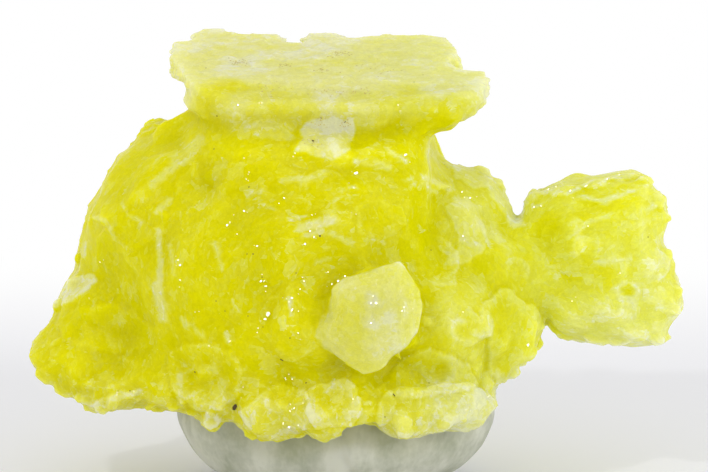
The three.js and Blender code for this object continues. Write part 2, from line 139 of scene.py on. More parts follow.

# Deep hollows and pale crests, and painted highlights round the glints on the rosette's face:
# the pixel of the middle, the radius in mm, and how much paler (or, below zero, deeper) they
# are.
SPOTS = [
    (212, 97, 1.6, -0.45), (232, 84, 1.2, -0.35), (285, 108, 1.6, -0.2), (425, 116, 2.0, -0.3),
    (405, 96, 1.2, -0.2), (455, 112, 1.2, -0.2), (340, 62, 1.2, -0.2), (180, 155, 2.2, -0.15),
    (175, 205, 1.8, -0.1), (350, 165, 1.8, -0.15), (400, 175, 1.5, -0.15), (230, 250, 2.5, -0.1),
    (105, 150, 1.0, 0.1), (100, 240, 1.4, 0.15), (180, 375, 2.2, 0.05), (86, 318, 2.6, -0.15),
    (440, 275, 2.2, -0.25), (490, 270, 2.2, -0.2), (415, 300, 1.8, -0.2), (370, 385, 1.6, -0.35),
    (330, 355, 2.4, -0.2), (250, 350, 1.8, -0.15), (225, 405, 2.0, 0.15), (260, 375, 1.6, 0.15),
    (630, 330, 3.0, 0.15), (655, 250, 2.0, 0.15), (585, 205, 1.8, -0.2), (625, 200, 1.6, -0.2),
    (535, 235, 2.2, -0.05), (610, 275, 1.2, -0.2), (628, 291, 0.5, -0.4), (550, 224, 1.0, -0.25),
    (590, 235, 1.6, -0.15), (540, 290, 2.0, 0.05), (500, 335, 1.8, -0.15), (500, 382, 1.8, 0.3),
    (522, 366, 1.4, 0.25), (482, 84, 1.1, 0.4), (176, 50, 1.2, 0.2), (300, 36, 1.0, 0.2),
    (470, 62, 1.0, 0.15), (330, 98, 2.0, 0.15), (368, 104, 1.6, 0.15), (432, 92, 1.4, 0.12),
    (236, 104, 0.9, 0.2), (250, 100, 1.6, -0.15), (410, 108, 1.8, -0.15), (29, 360, 1.2, 0.3),
    (45, 377, 1.1, 0.3), (62, 390, 1.1, 0.3), (83, 400, 1.1, 0.35), (104, 409, 1.2, 0.35),
    (128, 406, 0.9, 0.25), (150, 404, 0.9, 0.2), (174, 409, 0.9, 0.25), (464, 382, 0.9, -0.25),
    (447, 410, 0.5, -0.3), (300, 425, 1.5, 0.15), (345, 395, 1.2, 0.1), (400, 420, 2.0, 0.12),
    (450, 395, 1.8, 0.15), (373, 300, 0.6, 0.35), (389, 318, 0.5, 0.3), (371, 325, 0.5, 0.3),
    (388, 346, 1.3, 0.2), (404, 308, 0.5, 0.25), (345, 310, 1.2, -0.12), (352, 338, 1.2, -0.1),
    (360, 280, 0.9, -0.1),
]  # fmt: skip

# Lobes that stand in front of what is behind them: how far they stand out in mm, how pale
# they are inside and on their rims, and the pixels of their outlines.
LOBES = [
    (0.3, 0.12, 0.2, [(243, 424), (238, 412), (250, 402), (262, 390), (275, 384), (291, 386),
        (303, 390), (312, 400), (316, 418), (306, 434), (284, 443), (262, 440)]),
    (0.4, 0.1, 0.3, [(306, 396), (311, 388), (318, 384), (333, 379), (346, 377), (356, 386),
        (362, 398), (362, 410), (352, 424), (330, 428), (314, 430), (306, 415)]),
    (0.4, 0.1, 0.2, [(380, 442), (376, 424), (378, 404), (384, 394), (396, 388), (420, 390),
        (444, 384), (466, 384), (482, 390), (496, 398), (498, 415), (480, 428), (440, 442)]),
    (0.35, 0.0, 0.2, [(405, 353), (394, 361), (387, 377), (374, 391), (384, 398), (420, 400),
        (460, 394), (480, 385), (470, 366), (450, 352), (428, 347)]),
    (0.4, -0.02, 0.3, [(477, 304), (489, 295), (500, 287), (509, 286), (516, 293), (534, 304),
        (546, 322), (548, 346), (536, 360), (525, 368), (507, 384), (494, 386), (488, 364),
        (485, 340), (478, 320)]),
    (0.2, 0.22, 0.1, [(450, 160), (470, 158), (490, 166), (508, 186), (514, 206), (526, 226),
        (512, 234), (505, 225), (497, 205), (483, 192), (462, 184), (452, 182)]),
    (0.12, 0.2, 0.12, [(444, 206), (453, 203), (467, 196), (478, 208), (488, 232), (486, 250),
        (471, 262), (440, 268), (446, 258), (456, 250), (458, 235)]),
    (0.2, 0.85, 0.15, [(48, 312), (50, 298), (64, 280), (79, 272), (96, 270), (101, 282),
        (88, 294), (71, 303), (56, 309)]),
    (0.3, 0.12, 0.15, [(111, 392), (124, 390), (140, 398), (134, 408), (122, 412), (111, 418),
        (94, 415), (90, 404), (100, 396)]),
    (0.25, 0.0, 0.15, [(62, 318), (80, 306), (110, 300), (140, 312), (160, 330), (150, 352),
        (118, 356), (84, 352), (60, 340)]),
    (0.3, 0.05, 0.18, [(166, 352), (182, 342), (205, 340), (232, 350), (246, 372), (240, 398),
        (220, 412), (196, 410), (176, 396), (166, 374)]),
    (0.25, 0.15, 0.12, [(520, 202), (532, 188), (556, 178), (590, 168), (640, 164), (644, 172),
        (630, 180), (604, 186), (580, 191), (560, 196), (540, 198), (528, 206)]),
    (0.25, 0.0, 0.2, [(100, 232), (120, 214), (150, 205), (172, 214), (166, 236), (140, 250),
        (112, 256)]),
    (0.2, 0.02, 0.15, [(196, 176), (230, 160), (280, 158), (300, 172), (270, 188), (222, 194)]),
    (0.1, 0.72, 0.0, [(306, 122), (312, 117), (325, 120), (333, 115), (345, 120), (353, 118),
        (355, 130), (352, 140), (355, 151), (345, 158), (330, 161), (318, 158), (305, 154),
        (291, 154), (296, 144), (303, 139), (300, 130)]),
    (0.35, 0.4, 0.25, [(203, 414), (210, 411), (218, 413), (222, 421), (219, 428), (210, 431),
        (204, 427), (202, 420)]),
    (0.1, 0.3, 0.0, [(478, 74), (486, 71), (492, 75), (493, 86), (487, 92), (479, 89)]),
    (0.2, 0.0, 0.15, [(350, 206), (376, 196), (404, 204), (410, 226), (386, 240), (356, 232)]),
]  # fmt: skip

# The rosette's outline in pixels.
ROSETTE_OUTLINE = np.array(
    [(396, 263), (405, 274), (411, 287), (421, 299), (424, 311), (423, 332), (418, 347),
     (398, 359), (388, 371), (365, 373), (352, 361), (333, 349), (319, 336), (325, 318),
     (327, 300), (341, 286), (352, 275), (378, 268)], float,
)  # fmt: skip

# Where the outline is moved to the photograph's: the pixel, how many pixels round it, and
# how far to the right and up in mm.
WARPS = [
    (181, 44, 12, -0.55, 0.35), (179, 90, 18, 0.75, 0.1), (240, 34, 30, 0, 0.24),
    (330, 36, 24, 0, 0.22), (372, 38, 26, 0, 0.28), (415, 38, 26, 0, 0.34),
    (491, 88, 16, -0.6, 0.12), (446, 130, 15, 0, 0.28), (445, 150, 14, -0.45, 0),
    (517, 211, 9, 0, -0.7), (533, 196, 12, -0.3, 0.3), (625, 169, 24, 0, -0.2),
    (668, 225, 22, -0.22, 0), (645, 348, 28, 0, 0.36), (590, 342, 16, 0, 0.12),
    (547, 327, 7, 0, 0.25), (545, 346, 9, 0.25, 0), (527, 367, 15, -0.25, 0.25),
    (100, 187, 30, 0.27, 0), (155, 124, 20, -0.1, 0.4), (130, 411, 28, 0, 0.36),
    (188, 419, 18, 0, 0.5), (229, 428, 9, 0, 0.4), (290, 437, 15, 0, -0.24),
    (351, 429, 13, 0, -0.15), (486, 421, 17, 0, 0.8), (450, 432, 14, 0, 0.2),
    (426, 315, 20, -0.4, 0), (402, 363, 11, -0.3, 0.35), (397, 265, 8, 0.05, 0.2),
    (321, 336, 8, -0.2, 0),
]  # fmt: skip

# Crystals whose ends make the outline's teeth: the pixel, the length and width in mm, and
# the turn of the long side from the picture's right towards its top.
TEETH = [
    (644, 182, 1.7, 1.0, 0), (657, 200, 1.5, 1.5, 10), (664, 217, 1.5, 0.9, -20),
    (667, 256, 1.1, 1.4, 0), (677, 292, 1.1, 1.2, 20), (674, 309, 1.4, 1.1, -20),
    (656, 338, 1.6, 1.2, -40), (620, 341, 2.2, 0.8, 5), (598, 340, 2.2, 0.9, -8),
    (565, 335, 1.4, 0.9, -20), (554, 329, 1.2, 1.0, -50), (45, 377, 1.8, 1.0, -35),
    (63, 391, 1.8, 0.9, -30), (84, 399, 1.7, 0.8, -12), (100, 407, 1.4, 0.8, -25),
    (113, 410, 1.3, 0.8, 15), (158, 408, 1.3, 0.8, -10), (173, 407, 1.1, 0.8, 20),
    (192, 412, 1.0, 0.8, 0), (56, 303, 1.4, 0.9, 40), (74, 284, 1.5, 1.0, 35),
    (79, 259, 1.0, 0.9, 80), (212, 421, 1.5, 1.5, 0), (538, 344, 1.3, 1.1, -60),
    (532, 355, 1.2, 0.9, -30), (521, 363, 1.3, 0.8, -20), (512, 371, 1.2, 1.0, -60),
    (504, 381, 1.3, 0.9, -30), (497, 389, 1.1, 0.9, -70), (250, 434, 1.3, 0.8, -30),
    (264, 438, 1.2, 0.7, 0), (284, 440, 1.3, 0.8, 10), (300, 434, 1.2, 0.8, 20),
    (384, 434, 1.3, 1.0, -60), (400, 439, 1.2, 0.8, 0), (427, 321, 0.9, 0.8, 0),
    (540, 322, 1.1, 1.0, 50), (503, 182, 1.5, 0.9, -60), (482, 168, 1.6, 0.9, -25),
    (486, 80, 1.3, 1.4, 0),
]  # fmt: skip

# Facets that catch the lamp: the pixel, the size in pixels, and how long for its width.
GLINTS = [
    (356, 173, 5, 1.5), (354, 188, 2, 1.5), (405, 155, 4, 2.5), (406, 160, 2, 1), (244, 211, 3, 1),
    (227, 225, 3, 1.2), (230, 222, 1.5, 1), (237, 234, 1.5, 1), (284, 198, 2.2, 1.8),
    (244, 158, 1.6, 1), (249, 172, 1.5, 1), (246, 179, 1.5, 1), (295, 153, 2.2, 1.4),
    (310, 231, 2.5, 1.3), (314, 237, 3, 1.8), (312, 215, 1.6, 1), (305, 244, 3, 1.2),
    (257, 246, 2.6, 2), (261, 281, 3, 1.8), (264, 281, 2, 2), (266, 286, 2, 1),
    (268, 314, 6.5, 1.2), (265, 319, 3.6, 1.4), (304, 281, 2.2, 2), (300, 289, 1.6, 1),
    (292, 298, 3, 1.5), (289, 302, 2, 1.5), (292, 310, 3.4, 2.4), (338, 281, 3.6, 1.3),
    (332, 284, 2.6, 1.4), (345, 276, 2.6, 1.2), (328, 272, 1.3, 1), (376, 303, 4.2, 1.3),
    (371, 303, 2.6, 1.6), (373, 296, 2.4, 2), (404, 307, 2.2, 1), (402, 311, 2.4, 1.6),
    (371, 323, 3, 1.6), (298, 333, 2.2, 1.6), (258, 328, 1.6, 1), (227, 331, 1.6, 1),
    (230, 341, 2, 1.6), (209, 346, 1.5, 1), (356, 214, 1.6, 1), (290, 411, 2.6, 2),
    (294, 408, 2.4, 2), (303, 403, 1.6, 1.6), (285, 378, 1.6, 1), (292, 379, 1.6, 1),
    (289, 427, 3.2, 1.2), (283, 424, 1.8, 1), (409, 356, 2, 1), (466, 410, 1.6, 1),
    (488, 397, 2, 1.6), (528, 345, 4, 1.2), (353, 399, 1.6, 1), (243, 387, 1.6, 1),
    (180, 265, 3, 1.2), (178, 260, 1.6, 2), (238, 105, 3, 1), (398, 105, 2.4, 2),
    (262, 103, 1.5, 1), (180, 280, 2, 1), (548, 190, 3, 3), (556, 187, 2.4, 3), (570, 191, 3, 3),
    (586, 186, 3, 3.5), (607, 179, 3, 3), (619, 175, 2.4, 3), (534, 207, 2.4, 2),
    (541, 206, 2.2, 2), (620, 273, 2, 1), (588, 226, 2, 2), (572, 301, 1.4, 1), (470, 198, 3, 1.5),
    (462, 192, 2.4, 1.5), (463, 236, 2.6, 1.4), (447, 167, 1.6, 1), (117, 395, 1.8, 1),
    (134, 391, 1.6, 1), (195, 312, 1.4, 1), (100, 262, 1.4, 1), (463, 312, 1.6, 1),
]  # fmt: skip

COMPANION_REACH = 4  # about how many pixels a smaller glint is from each of these

# Grains of dirt: the pixel, the size in pixels, and how long for its width.
DIRT = [
    (235, 407, 6.5, 1.8), (282, 360, 2.4, 3), (394, 395, 2.4, 3), (320, 236, 2.2, 1),
    (249, 187, 1.5, 1), (247, 254, 1.2, 1), (253, 254, 1.5, 1), (262, 277, 1.4, 1),
    (296, 273, 1.2, 1), (216, 301, 1.3, 1), (225, 311, 1.1, 1), (248, 316, 1.1, 1),
    (290, 338, 1.3, 1), (263, 327, 1.1, 1), (306, 383, 1.5, 1), (385, 417, 1.4, 1),
    (429, 383, 1.2, 1), (431, 250, 1.2, 1), (313, 141, 2.4, 1.4), (214, 149, 1.4, 1),
    (217, 116, 1.6, 1), (130, 391, 1.5, 1), (195, 372, 1.8, 1), (118, 391, 1.2, 1),
    (345, 122, 1.6, 2), (321, 118, 1.2, 2), (648, 237, 1.4, 1), (423, 75, 1.2, 1),
    (414, 82, 1.2, 1), (229, 58, 1.1, 1), (206, 68, 1.1, 1),
]  # fmt: skip

# Patches of ochre dust: the pixel of the middle, the half-sizes in pixels, and the grains.
DUST = [
    (240, 62, 12, 3, 34), (287, 65, 9, 2, 18), (338, 54, 14, 3, 34), (322, 70, 9, 3, 20),
    (352, 92, 30, 4, 40), (380, 70, 30, 8, 24), (265, 88, 24, 7, 16), (318, 122, 9, 4, 14),
    (345, 124, 7, 5, 16), (312, 142, 9, 5, 14),
]  # fmt: skip


def pixel_ray(x, y):
    """The unit direction from the camera through a pixel of the photograph."""
    across = (x - PICTURE[0] / 2) * PITCH
    up = (PICTURE[1] / 2 - y) * PITCH
    ray = RIGHTWARDS * across + UPWARDS * up - BACKWARDS * CAMERA_FAR
    return ray / np.linalg.norm(ray)


# ---------- fields and vectors ----------


def unit(vectors):
    """Vectors made one long."""
    return vectors / np.maximum(np.linalg.norm(vectors, axis=-1, keepdims=True), 1e-9)


def lattice(cells, seed):
    """A fixed value from 0 to 1 for each point of a whole-number lattice."""
    wave = np.sin(cells @ np.array([127.1, 311.7, 74.7]) + seed * 17.17) * 43758.5453
    return wave - np.floor(wave)


def noise(points, pitch, seed=0):
    """Smooth noise from -1 to 1, with bumps about one pitch (or x, y, z pitches) across."""
    scaled = points / pitch
    cell = np.floor(scaled)
    t = scaled - cell
    t = t * t * (3 - 2 * t)
    total = np.zeros(len(points))
    for corner in np.ndindex(2, 2, 2):
        share = np.prod(np.where(corner, t, 1 - t), axis=1)
        total += share * lattice(cell + corner, seed)
    return 2 * total - 1


def smoothstep(low, high, value):
    """0 up to low and 1 from high, with a smooth way between; low may be the greater."""
    t = np.clip((value - low) / (high - low), 0, 1)
    return t * t * (3 - 2 * t)


def within(points, place, reach):
    """Which points are within reach of a place."""
    return np.linalg.norm(points - place, axis=1) < reach


def around(points, middle, reach):
    """The numbers of the points within reach of a middle, and their offsets from it."""
    offset = points - middle
    near = np.flatnonzero(np.sum(offset**2, axis=1) < reach**2)
    return near, offset[near]


# ---------- meshes as arrays ----------


def read(items, name, width=1, kind=float):
    """What each of a mesh's items holds under a name: a number, or a row of them."""
    values = np.empty(len(items) * width, dtype=kind)
    items.foreach_get(name, values)
    return values if width == 1 else values.reshape(-1, width)


def points_of(mesh):
    return read(mesh.vertices, "co", 3)


def normals_of(mesh):
    """The way out at each of a mesh's points."""
    return read(mesh.vertex_normals, "vector", 3)


def arrays_of(mesh):
    """A mesh's points, its edges, and the way out at each point."""
    return points_of(mesh), read(mesh.edges, "vertices", 2, np.int64), normals_of(mesh)


def triangles_of(mesh):
    """The three points of each of the triangles that a mesh's faces fall into."""
    mesh.calc_loop_triangles()
    return read(mesh.loop_triangles, "vertices", 3, np.int64)


def corners_of(mesh):
    """The point at each corner of each face, face by face."""
    return read(mesh.loops, "vertex_index", 1, np.int64)


def move(mesh, points):
    """Moves a mesh's points to new places."""
    mesh.vertices.foreach_set("co", points.ravel())
    mesh.update()


def store(mesh, name, domain, values):
    """Stores a number, or a row of three, for each point or corner of a mesh."""
    kind, field = ("FLOAT", "value") if values.ndim == 1 else ("FLOAT_VECTOR", "vector")
    mesh.attributes.new(name, kind, domain).data.foreach_set(field, values.ravel())


def tree_of(mesh):
    """A tree that finds where rays meet a mesh, and its nearest places."""
    return BVHTree.FromPolygons(points_of(mesh).tolist(), triangles_of(mesh).tolist())


def mesh_from(points, faces, name="work"):
    mesh = bpy.data.meshes.new(name)
    mesh.from_pydata(points.tolist(), [], faces)
    mesh.update()
    return mesh


def placed(name, data):
    """A new object in the scene."""
    obj = bpy.data.objects.new(name, data)
    bpy.context.scene.collection.objects.link(obj)
    return obj


def modified(mesh, kind, **settings):
    """A new mesh: this one with a modifier applied."""
    holder = placed("holder", mesh)
    modifier = holder.modifiers.new(kind, kind)
    for key, value in settings.items():
        setattr(modifier, key, value)
    depsgraph = bpy.context.evaluated_depsgraph_get()
    result = bpy.data.meshes.new_from_object(holder.evaluated_get(depsgraph))
    bpy.data.objects.remove(holder)
    return result


def fused(mesh, voxel):
    """A new mesh of squares round everything that a mesh encloses."""
    return modified(mesh, "REMESH", mode="VOXEL", voxel_size=voxel)


def relaxed(points, edges, times, share=0.5):
    """Points, or other values, drawn towards the mean of their neighbours."""
    a, b = edges.T
    count = np.bincount(edges.ravel(), minlength=len(points))[:, None]
    for _ in range(times):
        total = [np.bincount(a, p[b], len(p)) + np.bincount(b, p[a], len(p)) for p in points.T]
        points = points + share * (np.stack(total, axis=1) / np.maximum(count, 1) - points)
    return points


def node_arrays(name):
    """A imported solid's points in mm and its triangles."""
    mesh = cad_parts[name].data
    return points_of(mesh) / MM, triangles_of(mesh)


def scattered(points, triangles, count, seed):
    """Random places on a surface, evenly by area, with the way out at each."""
    draw = np.random.default_rng(seed)
    a, b, c = (points[triangles[:, k]] for k in range(3))
    cross = np.cross(b - a, c - a)
    area = np.linalg.norm(cross, axis=1)
    chosen = draw.choice(len(triangles), count, p=area / area.sum())
    u, v = draw.random((2, count))
    over = u + v > 1
    u, v = np.where(over, 1 - u, u), np.where(over, 1 - v, v)
    place = a[chosen] + u[:, None] * (b - a)[chosen] + v[:, None] * (c - a)[chosen]
    return place, unit(cross[chosen])


def outer_shell(mesh):
    """A mesh of squares without its inner shells and loose crumbs."""
    points, edges, _ = arrays_of(mesh)
    label = np.arange(len(points))
    while True:
        least = np.minimum(label[edges[:, 0]], label[edges[:, 1]])
        lower = label.copy()
        np.minimum.at(lower, edges[:, 0], least)
        np.minimum.at(lower, edges[:, 1], least)
        lower = lower[lower]
        if np.array_equal(lower, label):
            break
        label = lower
    kept = label == np.bincount(label).argmax()
    place = np.cumsum(kept) - 1
    squares = corners_of(mesh).reshape(-1, 4)
    return mesh_from(points[kept], place[squares[kept[squares[:, 0]]]].tolist())


# ---------- flat crystals ----------

CORNERS = np.radians([0, 55, 118, 180, 236, 304])  # the turns of a crystal's six corners
THICK = 0.4  # how thick most crystals are


class Crystals:
    """Flat six-sided crystals. Each is centred on its upper face, with its long side along
    one direction and its face up the other. They may all have the same thickness."""

    def __init__(self, centre, along, up, length, width, thick):
        self.centre = centre
        self.up = up
        self.along = unit(along - up * np.sum(along * up, axis=1, keepdims=True))
        self.across = np.cross(up, self.along)
        self.length = length
        self.width = width
        self.thick = np.broadcast_to(thick, width.shape)

    def mesh(self, seed):
        """The crystals' (points, faces)."""
        draw = np.random.default_rng(seed)
        count = len(self.centre)
        turn = CORNERS + draw.uniform(-0.22, 0.22, (count, 6))
        reach = draw.uniform(0.82, 1.08, (count, 6)) / 2
        a = (np.cos(turn) * reach * self.length[:, None])[..., None]
        b = (np.sin(turn) * reach * self.width[:, None])[..., None]
        top = self.centre[:, None] + a * self.along[:, None] + b * self.across[:, None]
        bottom = top - self.up[:, None] * self.thick[:, None, None]
        points = np.concatenate([top, bottom], axis=1).reshape(-1, 3)
        faces = []
        for first in range(0, 12 * count, 12):
            faces.append(list(range(first, first + 6)))
            faces.append(list(range(first + 11, first + 5, -1)))
            for k in range(6):
                n = (k + 1) % 6
                faces.append([first + k, first + 6 + k, first + 6 + n, first + n])
        return points, faces

    def under(self, places, seed):
        """The crystal that each place is on, and how far it is from that crystal's edge:
        0 where the next crystal begins."""
        tree = KDTree(len(self.centre))
        for k, centre in enumerate(self.centre):
            tree.insert(centre, k)
        tree.balance()
        near = np.array([[hit[1] for hit in tree.find_n(place, 6)] for place in places])
        offset = places[:, None] - self.centre[near]
        a = np.sum(offset * self.along[near], axis=2) / self.length[near]
        b = np.sum(offset * self.across[near], axis=2) / self.width[near]
        rank = np.random.default_rng(seed).uniform(0, 0.5, len(self.centre))
        score = np.hypot(a, b) + rank[near]
        order = np.argsort(score, axis=1)[:, :2]
        first, second = np.take_along_axis(score, order, axis=1).T
        chosen = np.take_along_axis(near, order[:, :1], axis=1)[:, 0]
        return chosen, second - first


def together(groups):
    """Several groups of crystals as one."""
    fields = ("centre", "along", "up", "length", "width", "thick")
    return Crystals(*(np.concatenate([getattr(group, key) for group in groups]) for key in fields))


def joined(pieces):
    """Several (points, faces) as one."""
    points, faces, first = [], [], 0
    for some_points, some_faces in pieces:
        points.append(some_points)
        faces.extend([[first + k for k in face] for face in some_faces])
        first += len(some_points)
    return np.concatenate(points), faces


def slab_height(points):
    """How far above the slab's upper face points are."""
    return (points - SLAB_FRONT) @ SLAB_UP


def from_crease(points):
    """How far above the crease under the slab points are."""
    return slab_height(points) + SLAB_THICK + 0.6


def behind_front(points):
    """How far behind the slab's front edge points are."""
    return (points - SLAB_FRONT) @ SLAB_BACK


def outward_from_pole(points):
    """The way from the arcs' pole to each point, as seen from the display side."""
    away = points - ARC_POLE
    away[:, 1] = 0
    return unit(away)


def rosette_axis(points):
    """How far along the rosette's axis points are, and the way to them from the axis."""
    offset = points - ROSETTE_AT
    along = offset @ ROSETTE_OUT
    return along, offset - along[:, None] * ROSETTE_OUT


def from_rosette(points):
    """How far points are from the rosette's axis."""
    return np.linalg.norm(rosette_axis(points)[1], axis=1)


def strayed(draw, vectors, spread, count):
    """Unit vectors that stray at random from one or more vectors."""
    return unit(vectors + spread * draw.normal(0, 1, (count, 3)))


def sized(draw, count, least, more, slims):
    """The lengths of crystals, most of them short, and their widths."""
    length = least + more * draw.random(count) ** 2
    return length, length * draw.uniform(*slims, count)


def body_crystals(place, normal, seed):
    """Crystals along the arcs on the dome, and lying all ways on the skirt."""
    draw = np.random.default_rng(seed)
    count = len(place)
    low = (place[:, 2] < 11) | ((place[:, 0] > 9) & (place[:, 2] < 15))
    away = outward_from_pole(place)
    stray = np.where(low, 2, 0.35)[:, None]
    arc = np.cross(away, [0, 1, 0]) + draw.normal(0, 1, (count, 3)) * stray
    up = unit(normal - away * draw.uniform(0, 0.12, (count, 1)))
    up = strayed(draw, up, np.where(low, 0.2, 0.08)[:, None], count)
    length, width = sized(draw, count, 0.6, 1.5, (0.4, 0.75))
    lift = draw.uniform(-0.12, 0.04, (count, 1))
    return Crystals(place + normal * lift, arc, up, length, width, THICK)


def tail_crystals(place, normal, seed):
    """Long blades that fan out from the tail's root."""
    draw = np.random.default_rng(seed)
    count = len(place)
    along = strayed(draw, place - TAIL_ROOT, 1.2, count)
    up = strayed(draw, normal, 0.06, count)
    length, width = sized(draw, count, 0.6, 1.6, (0.25, 0.5))
    on_rim = np.abs(normal[:, 1:2]) < 0.55
    lift = draw.uniform(-0.12, 0.02, (count, 1)) - 0.1 * on_rim
    return Crystals(place + normal * lift, along, up, length, width, THICK)


def slab_crystals(place, normal, seed):
    """Thin plates that lie flat in the slab, on its face and out of its edges."""
    draw = np.random.default_rng(seed)
    count = len(place)
    up = strayed(draw, SLAB_UP, 0.1, count)
    facing = np.abs(normal @ SLAB_UP) > 0.8
    along = strayed(draw, 0, 1, count)
    length = np.where(facing, draw.uniform(0.5, 2.2, count), draw.uniform(0.5, 1.5, count))
    width = length * draw.uniform(0.6, 0.95, count)
    lift = np.where(facing, draw.uniform(-0.05, 0.05, count), draw.uniform(-0.6, 0, count))
    thick = np.where(facing, 0.35, draw.uniform(0.3, 0.7, count))
    return Crystals(place + normal * lift[:, None], along, up, length, width, thick)


def rosette_crystals(place, _, seed):
    """Small plates that lie all ways in the rosette's face and end at its rim."""
    draw = np.random.default_rng(seed)
    count = len(place)
    away = unit(rosette_axis(place)[1])
    along = strayed(draw, 0.6 * away, 0.8, count)
    up = strayed(draw, ROSETTE_OUT, 0.12, count)
    length, width = sized(draw, count, 0.4, 1.1, (0.5, 0.9))
    lift = draw.uniform(-0.1, 0.08, (count, 1))
    place = place - away * (0.4 * length)[:, None] + ROSETTE_OUT * lift
    return Crystals(place, along, up, length, width, THICK)


def find_all(find, pixels):
    """Where each of some pixels is on a surface, and the way out at each."""
    found = np.array([find(x, y) for x, y in pixels])
    return found[:, 0], found[:, 1]


def tooth_crystals(find):
    """Flat crystals that face the display side, with their ends at the outline."""
    across, up, length, width, turn = np.array(TEETH).T
    centre = find_all(find, zip(across, up))[0] + 0.4 * BACKWARDS
    turn = np.radians(turn)[:, None]
    along = np.cos(turn) * RIGHTWARDS + np.sin(turn) * UPWARDS
    facing = np.tile(BACKWARDS, (len(TEETH), 1))
    return Crystals(centre, along, facing, length, width, 1.2)


def streak_crystals(find):
    """Long flat crystals that lie on the surface where the streaks are."""
    rows = np.array(STREAKS)
    start, start_out = find_all(find, rows[:, :2])
    end, end_out = find_all(find, rows[:, 2:4])
    out = unit(start_out + end_out)
    length = np.linalg.norm(end - start, axis=1)
    centre = (start + end) / 2 + 0.05 * out
    return Crystals(centre, end - start, out, 1.1 * length, 1.1 * rows[:, 4], 0.6)


# ---------- the specimen's parts ----------

GRAIN = 0.145  # mm, the finest step of the fused skin
FORM_GRAIN = 0.4  # mm, the step of the form that the crystals are scattered on
CLOSING_GRAIN = 0.3  # mm, the step of the form while its slits are filled
CLOSING = 0.9  # half the width of the slits that are filled
RIM_COUNT = 260  # small lobes with pale rims
RIM_RADII = (0.6, 1.9)
PUTTY_GRAIN = 0.28  # mm, the step of the putty's skin
PRESSED = 0.15  # how far the crystals are pressed into the putty
MOST_TRIANGLES = 195000
SHARP_FROM = math.radians(38)  # the angle from which an edge between two faces shows

# The crystals on each region, and how many there are to a square millimetre.
REGIONS = {
    "slab": (slab_crystals, 2.2),
    "body": (body_crystals, 2.6),
    "tail": (tail_crystals, 2.6),
    "rosette": (rosette_crystals, 6.0),
}


def region_masks(points):
    """Which region of the specimen each point is in."""
    slab = slab_height(points) > -SLAB_THICK
    tail = ~slab & (points[:, 0] > TAIL_FROM)
    rosette = (from_rosette(points) < ROSETTE_RADIUS + 0.2) & (points[:, 1] < -11.2)
    body = ~(slab | tail | rosette)
    return {"slab": slab, "tail": tail, "rosette": rosette, "body": body}


def lowered_lip(points):
    """The slab's front edge bent down to the dome, and worn uneven."""
    behind = behind_front(points) + 0.9 * noise(points, 3.0, 20)
    front = smoothstep(3.5, -0.5, behind)
    drop = SLAB_DROP * front * (1 + 0.5 * noise(points, 2.4, 21) + 0.35 * noise(points, 0.9, 22))
    drop *= smoothstep(-SLAB_THICK - 0.6, -SLAB_THICK + 0.3, slab_height(points))
    drop *= smoothstep(10.5, 7, np.abs(points[:, 0]))
    return points - SLAB_UP * drop[:, None]


def warped(points):
    """The form moved across the picture, so that its outline is the photograph's."""
    pixels, _ = pixels_of(points)
    moved = points.copy()
    for x, y, radius, right, up in WARPS:
        reach = np.hypot(*(pixels - (x, y)).T) / radius
        moved += np.exp(-(reach[:, None] ** 2)) * (right * RIGHTWARDS + up * UPWARDS)
    return moved


def find_from_camera(tree):
    """A function from a pixel of the photograph to the surface it shows and the way out."""

    def find(x, y):
        ray = pixel_ray(x, y)
        place, normal, _, _ = tree.ray_cast(Vector(EYE), Vector(ray))
        if place is None:
            place, normal, _, _ = tree.find_nearest(Vector(EYE + ray * CAMERA_FAR))
        return np.array(place), np.array(normal)

    return find


class Form:
    """The specimen's smoothed form, and where the photograph's features are on it."""

    def __init__(self):
        points, triangles = node_arrays("brucite")
        mesh = fused(mesh_from(points, triangles.tolist()), FORM_GRAIN)
        smooth, edges, _ = arrays_of(mesh)
        self.points = warped(lowered_lip(relaxed(smooth, edges, 3)))
        self.solid = (warped(lowered_lip(points)), triangles.tolist())
        move(mesh, self.points)
        self.mesh = mesh
        self.triangles = triangles_of(mesh)
        a, b, c = (self.points[self.triangles[:, k]] for k in range(3))
        self.area = np.linalg.norm(np.cross(b - a, c - a), axis=1).sum() / 2
        self.find = find_from_camera(tree_of(mesh))
        self.cups = [(*self.find(x, y), radius) for x, y, radius in CUPS]
        self.streaks = []
        for x0, y0, x1, y1, width, pale in STREAKS:
            start, end = np.array([x0, y0], float), np.array([x1, y1], float)
            self.streaks.append((start, end, width, pale, self.depth_at((start + end) / 2)))
        self.spots = [(self.find(x, y)[0], radius, pale) for x, y, radius, pale in SPOTS]
        self.lobes = []
        for rise, pale, rim, outline in LOBES:
            outline = np.array(outline, float)
            self.lobes.append((rise, pale, rim, outline, self.depth_at(outline.mean(axis=0))))

    def depth_at(self, pixel):
        """How far from the camera the surface is that a pixel shows."""
        return (self.find(*pixel)[0] - EYE) @ -BACKWARDS


def pixels_of(points):
    """Where points are in the photograph, and how far they are from the camera."""
    offset = points - EYE
    depth = offset @ -BACKWARDS
    scale = CAMERA_FAR / PITCH / depth
    x = PICTURE[0] / 2 + scale * (offset @ RIGHTWARDS)
    y = PICTURE[1] / 2 - scale * (offset @ UPWARDS)
    return np.stack([x, y], axis=1), depth


def from_line(pixels, start, end):
    """How many pixels each place is from the line between two others."""
    line = end - start
    t = np.clip((pixels - start) @ line / (line @ line), 0, 1)
    return np.hypot(*(pixels - start - t[:, None] * line).T)


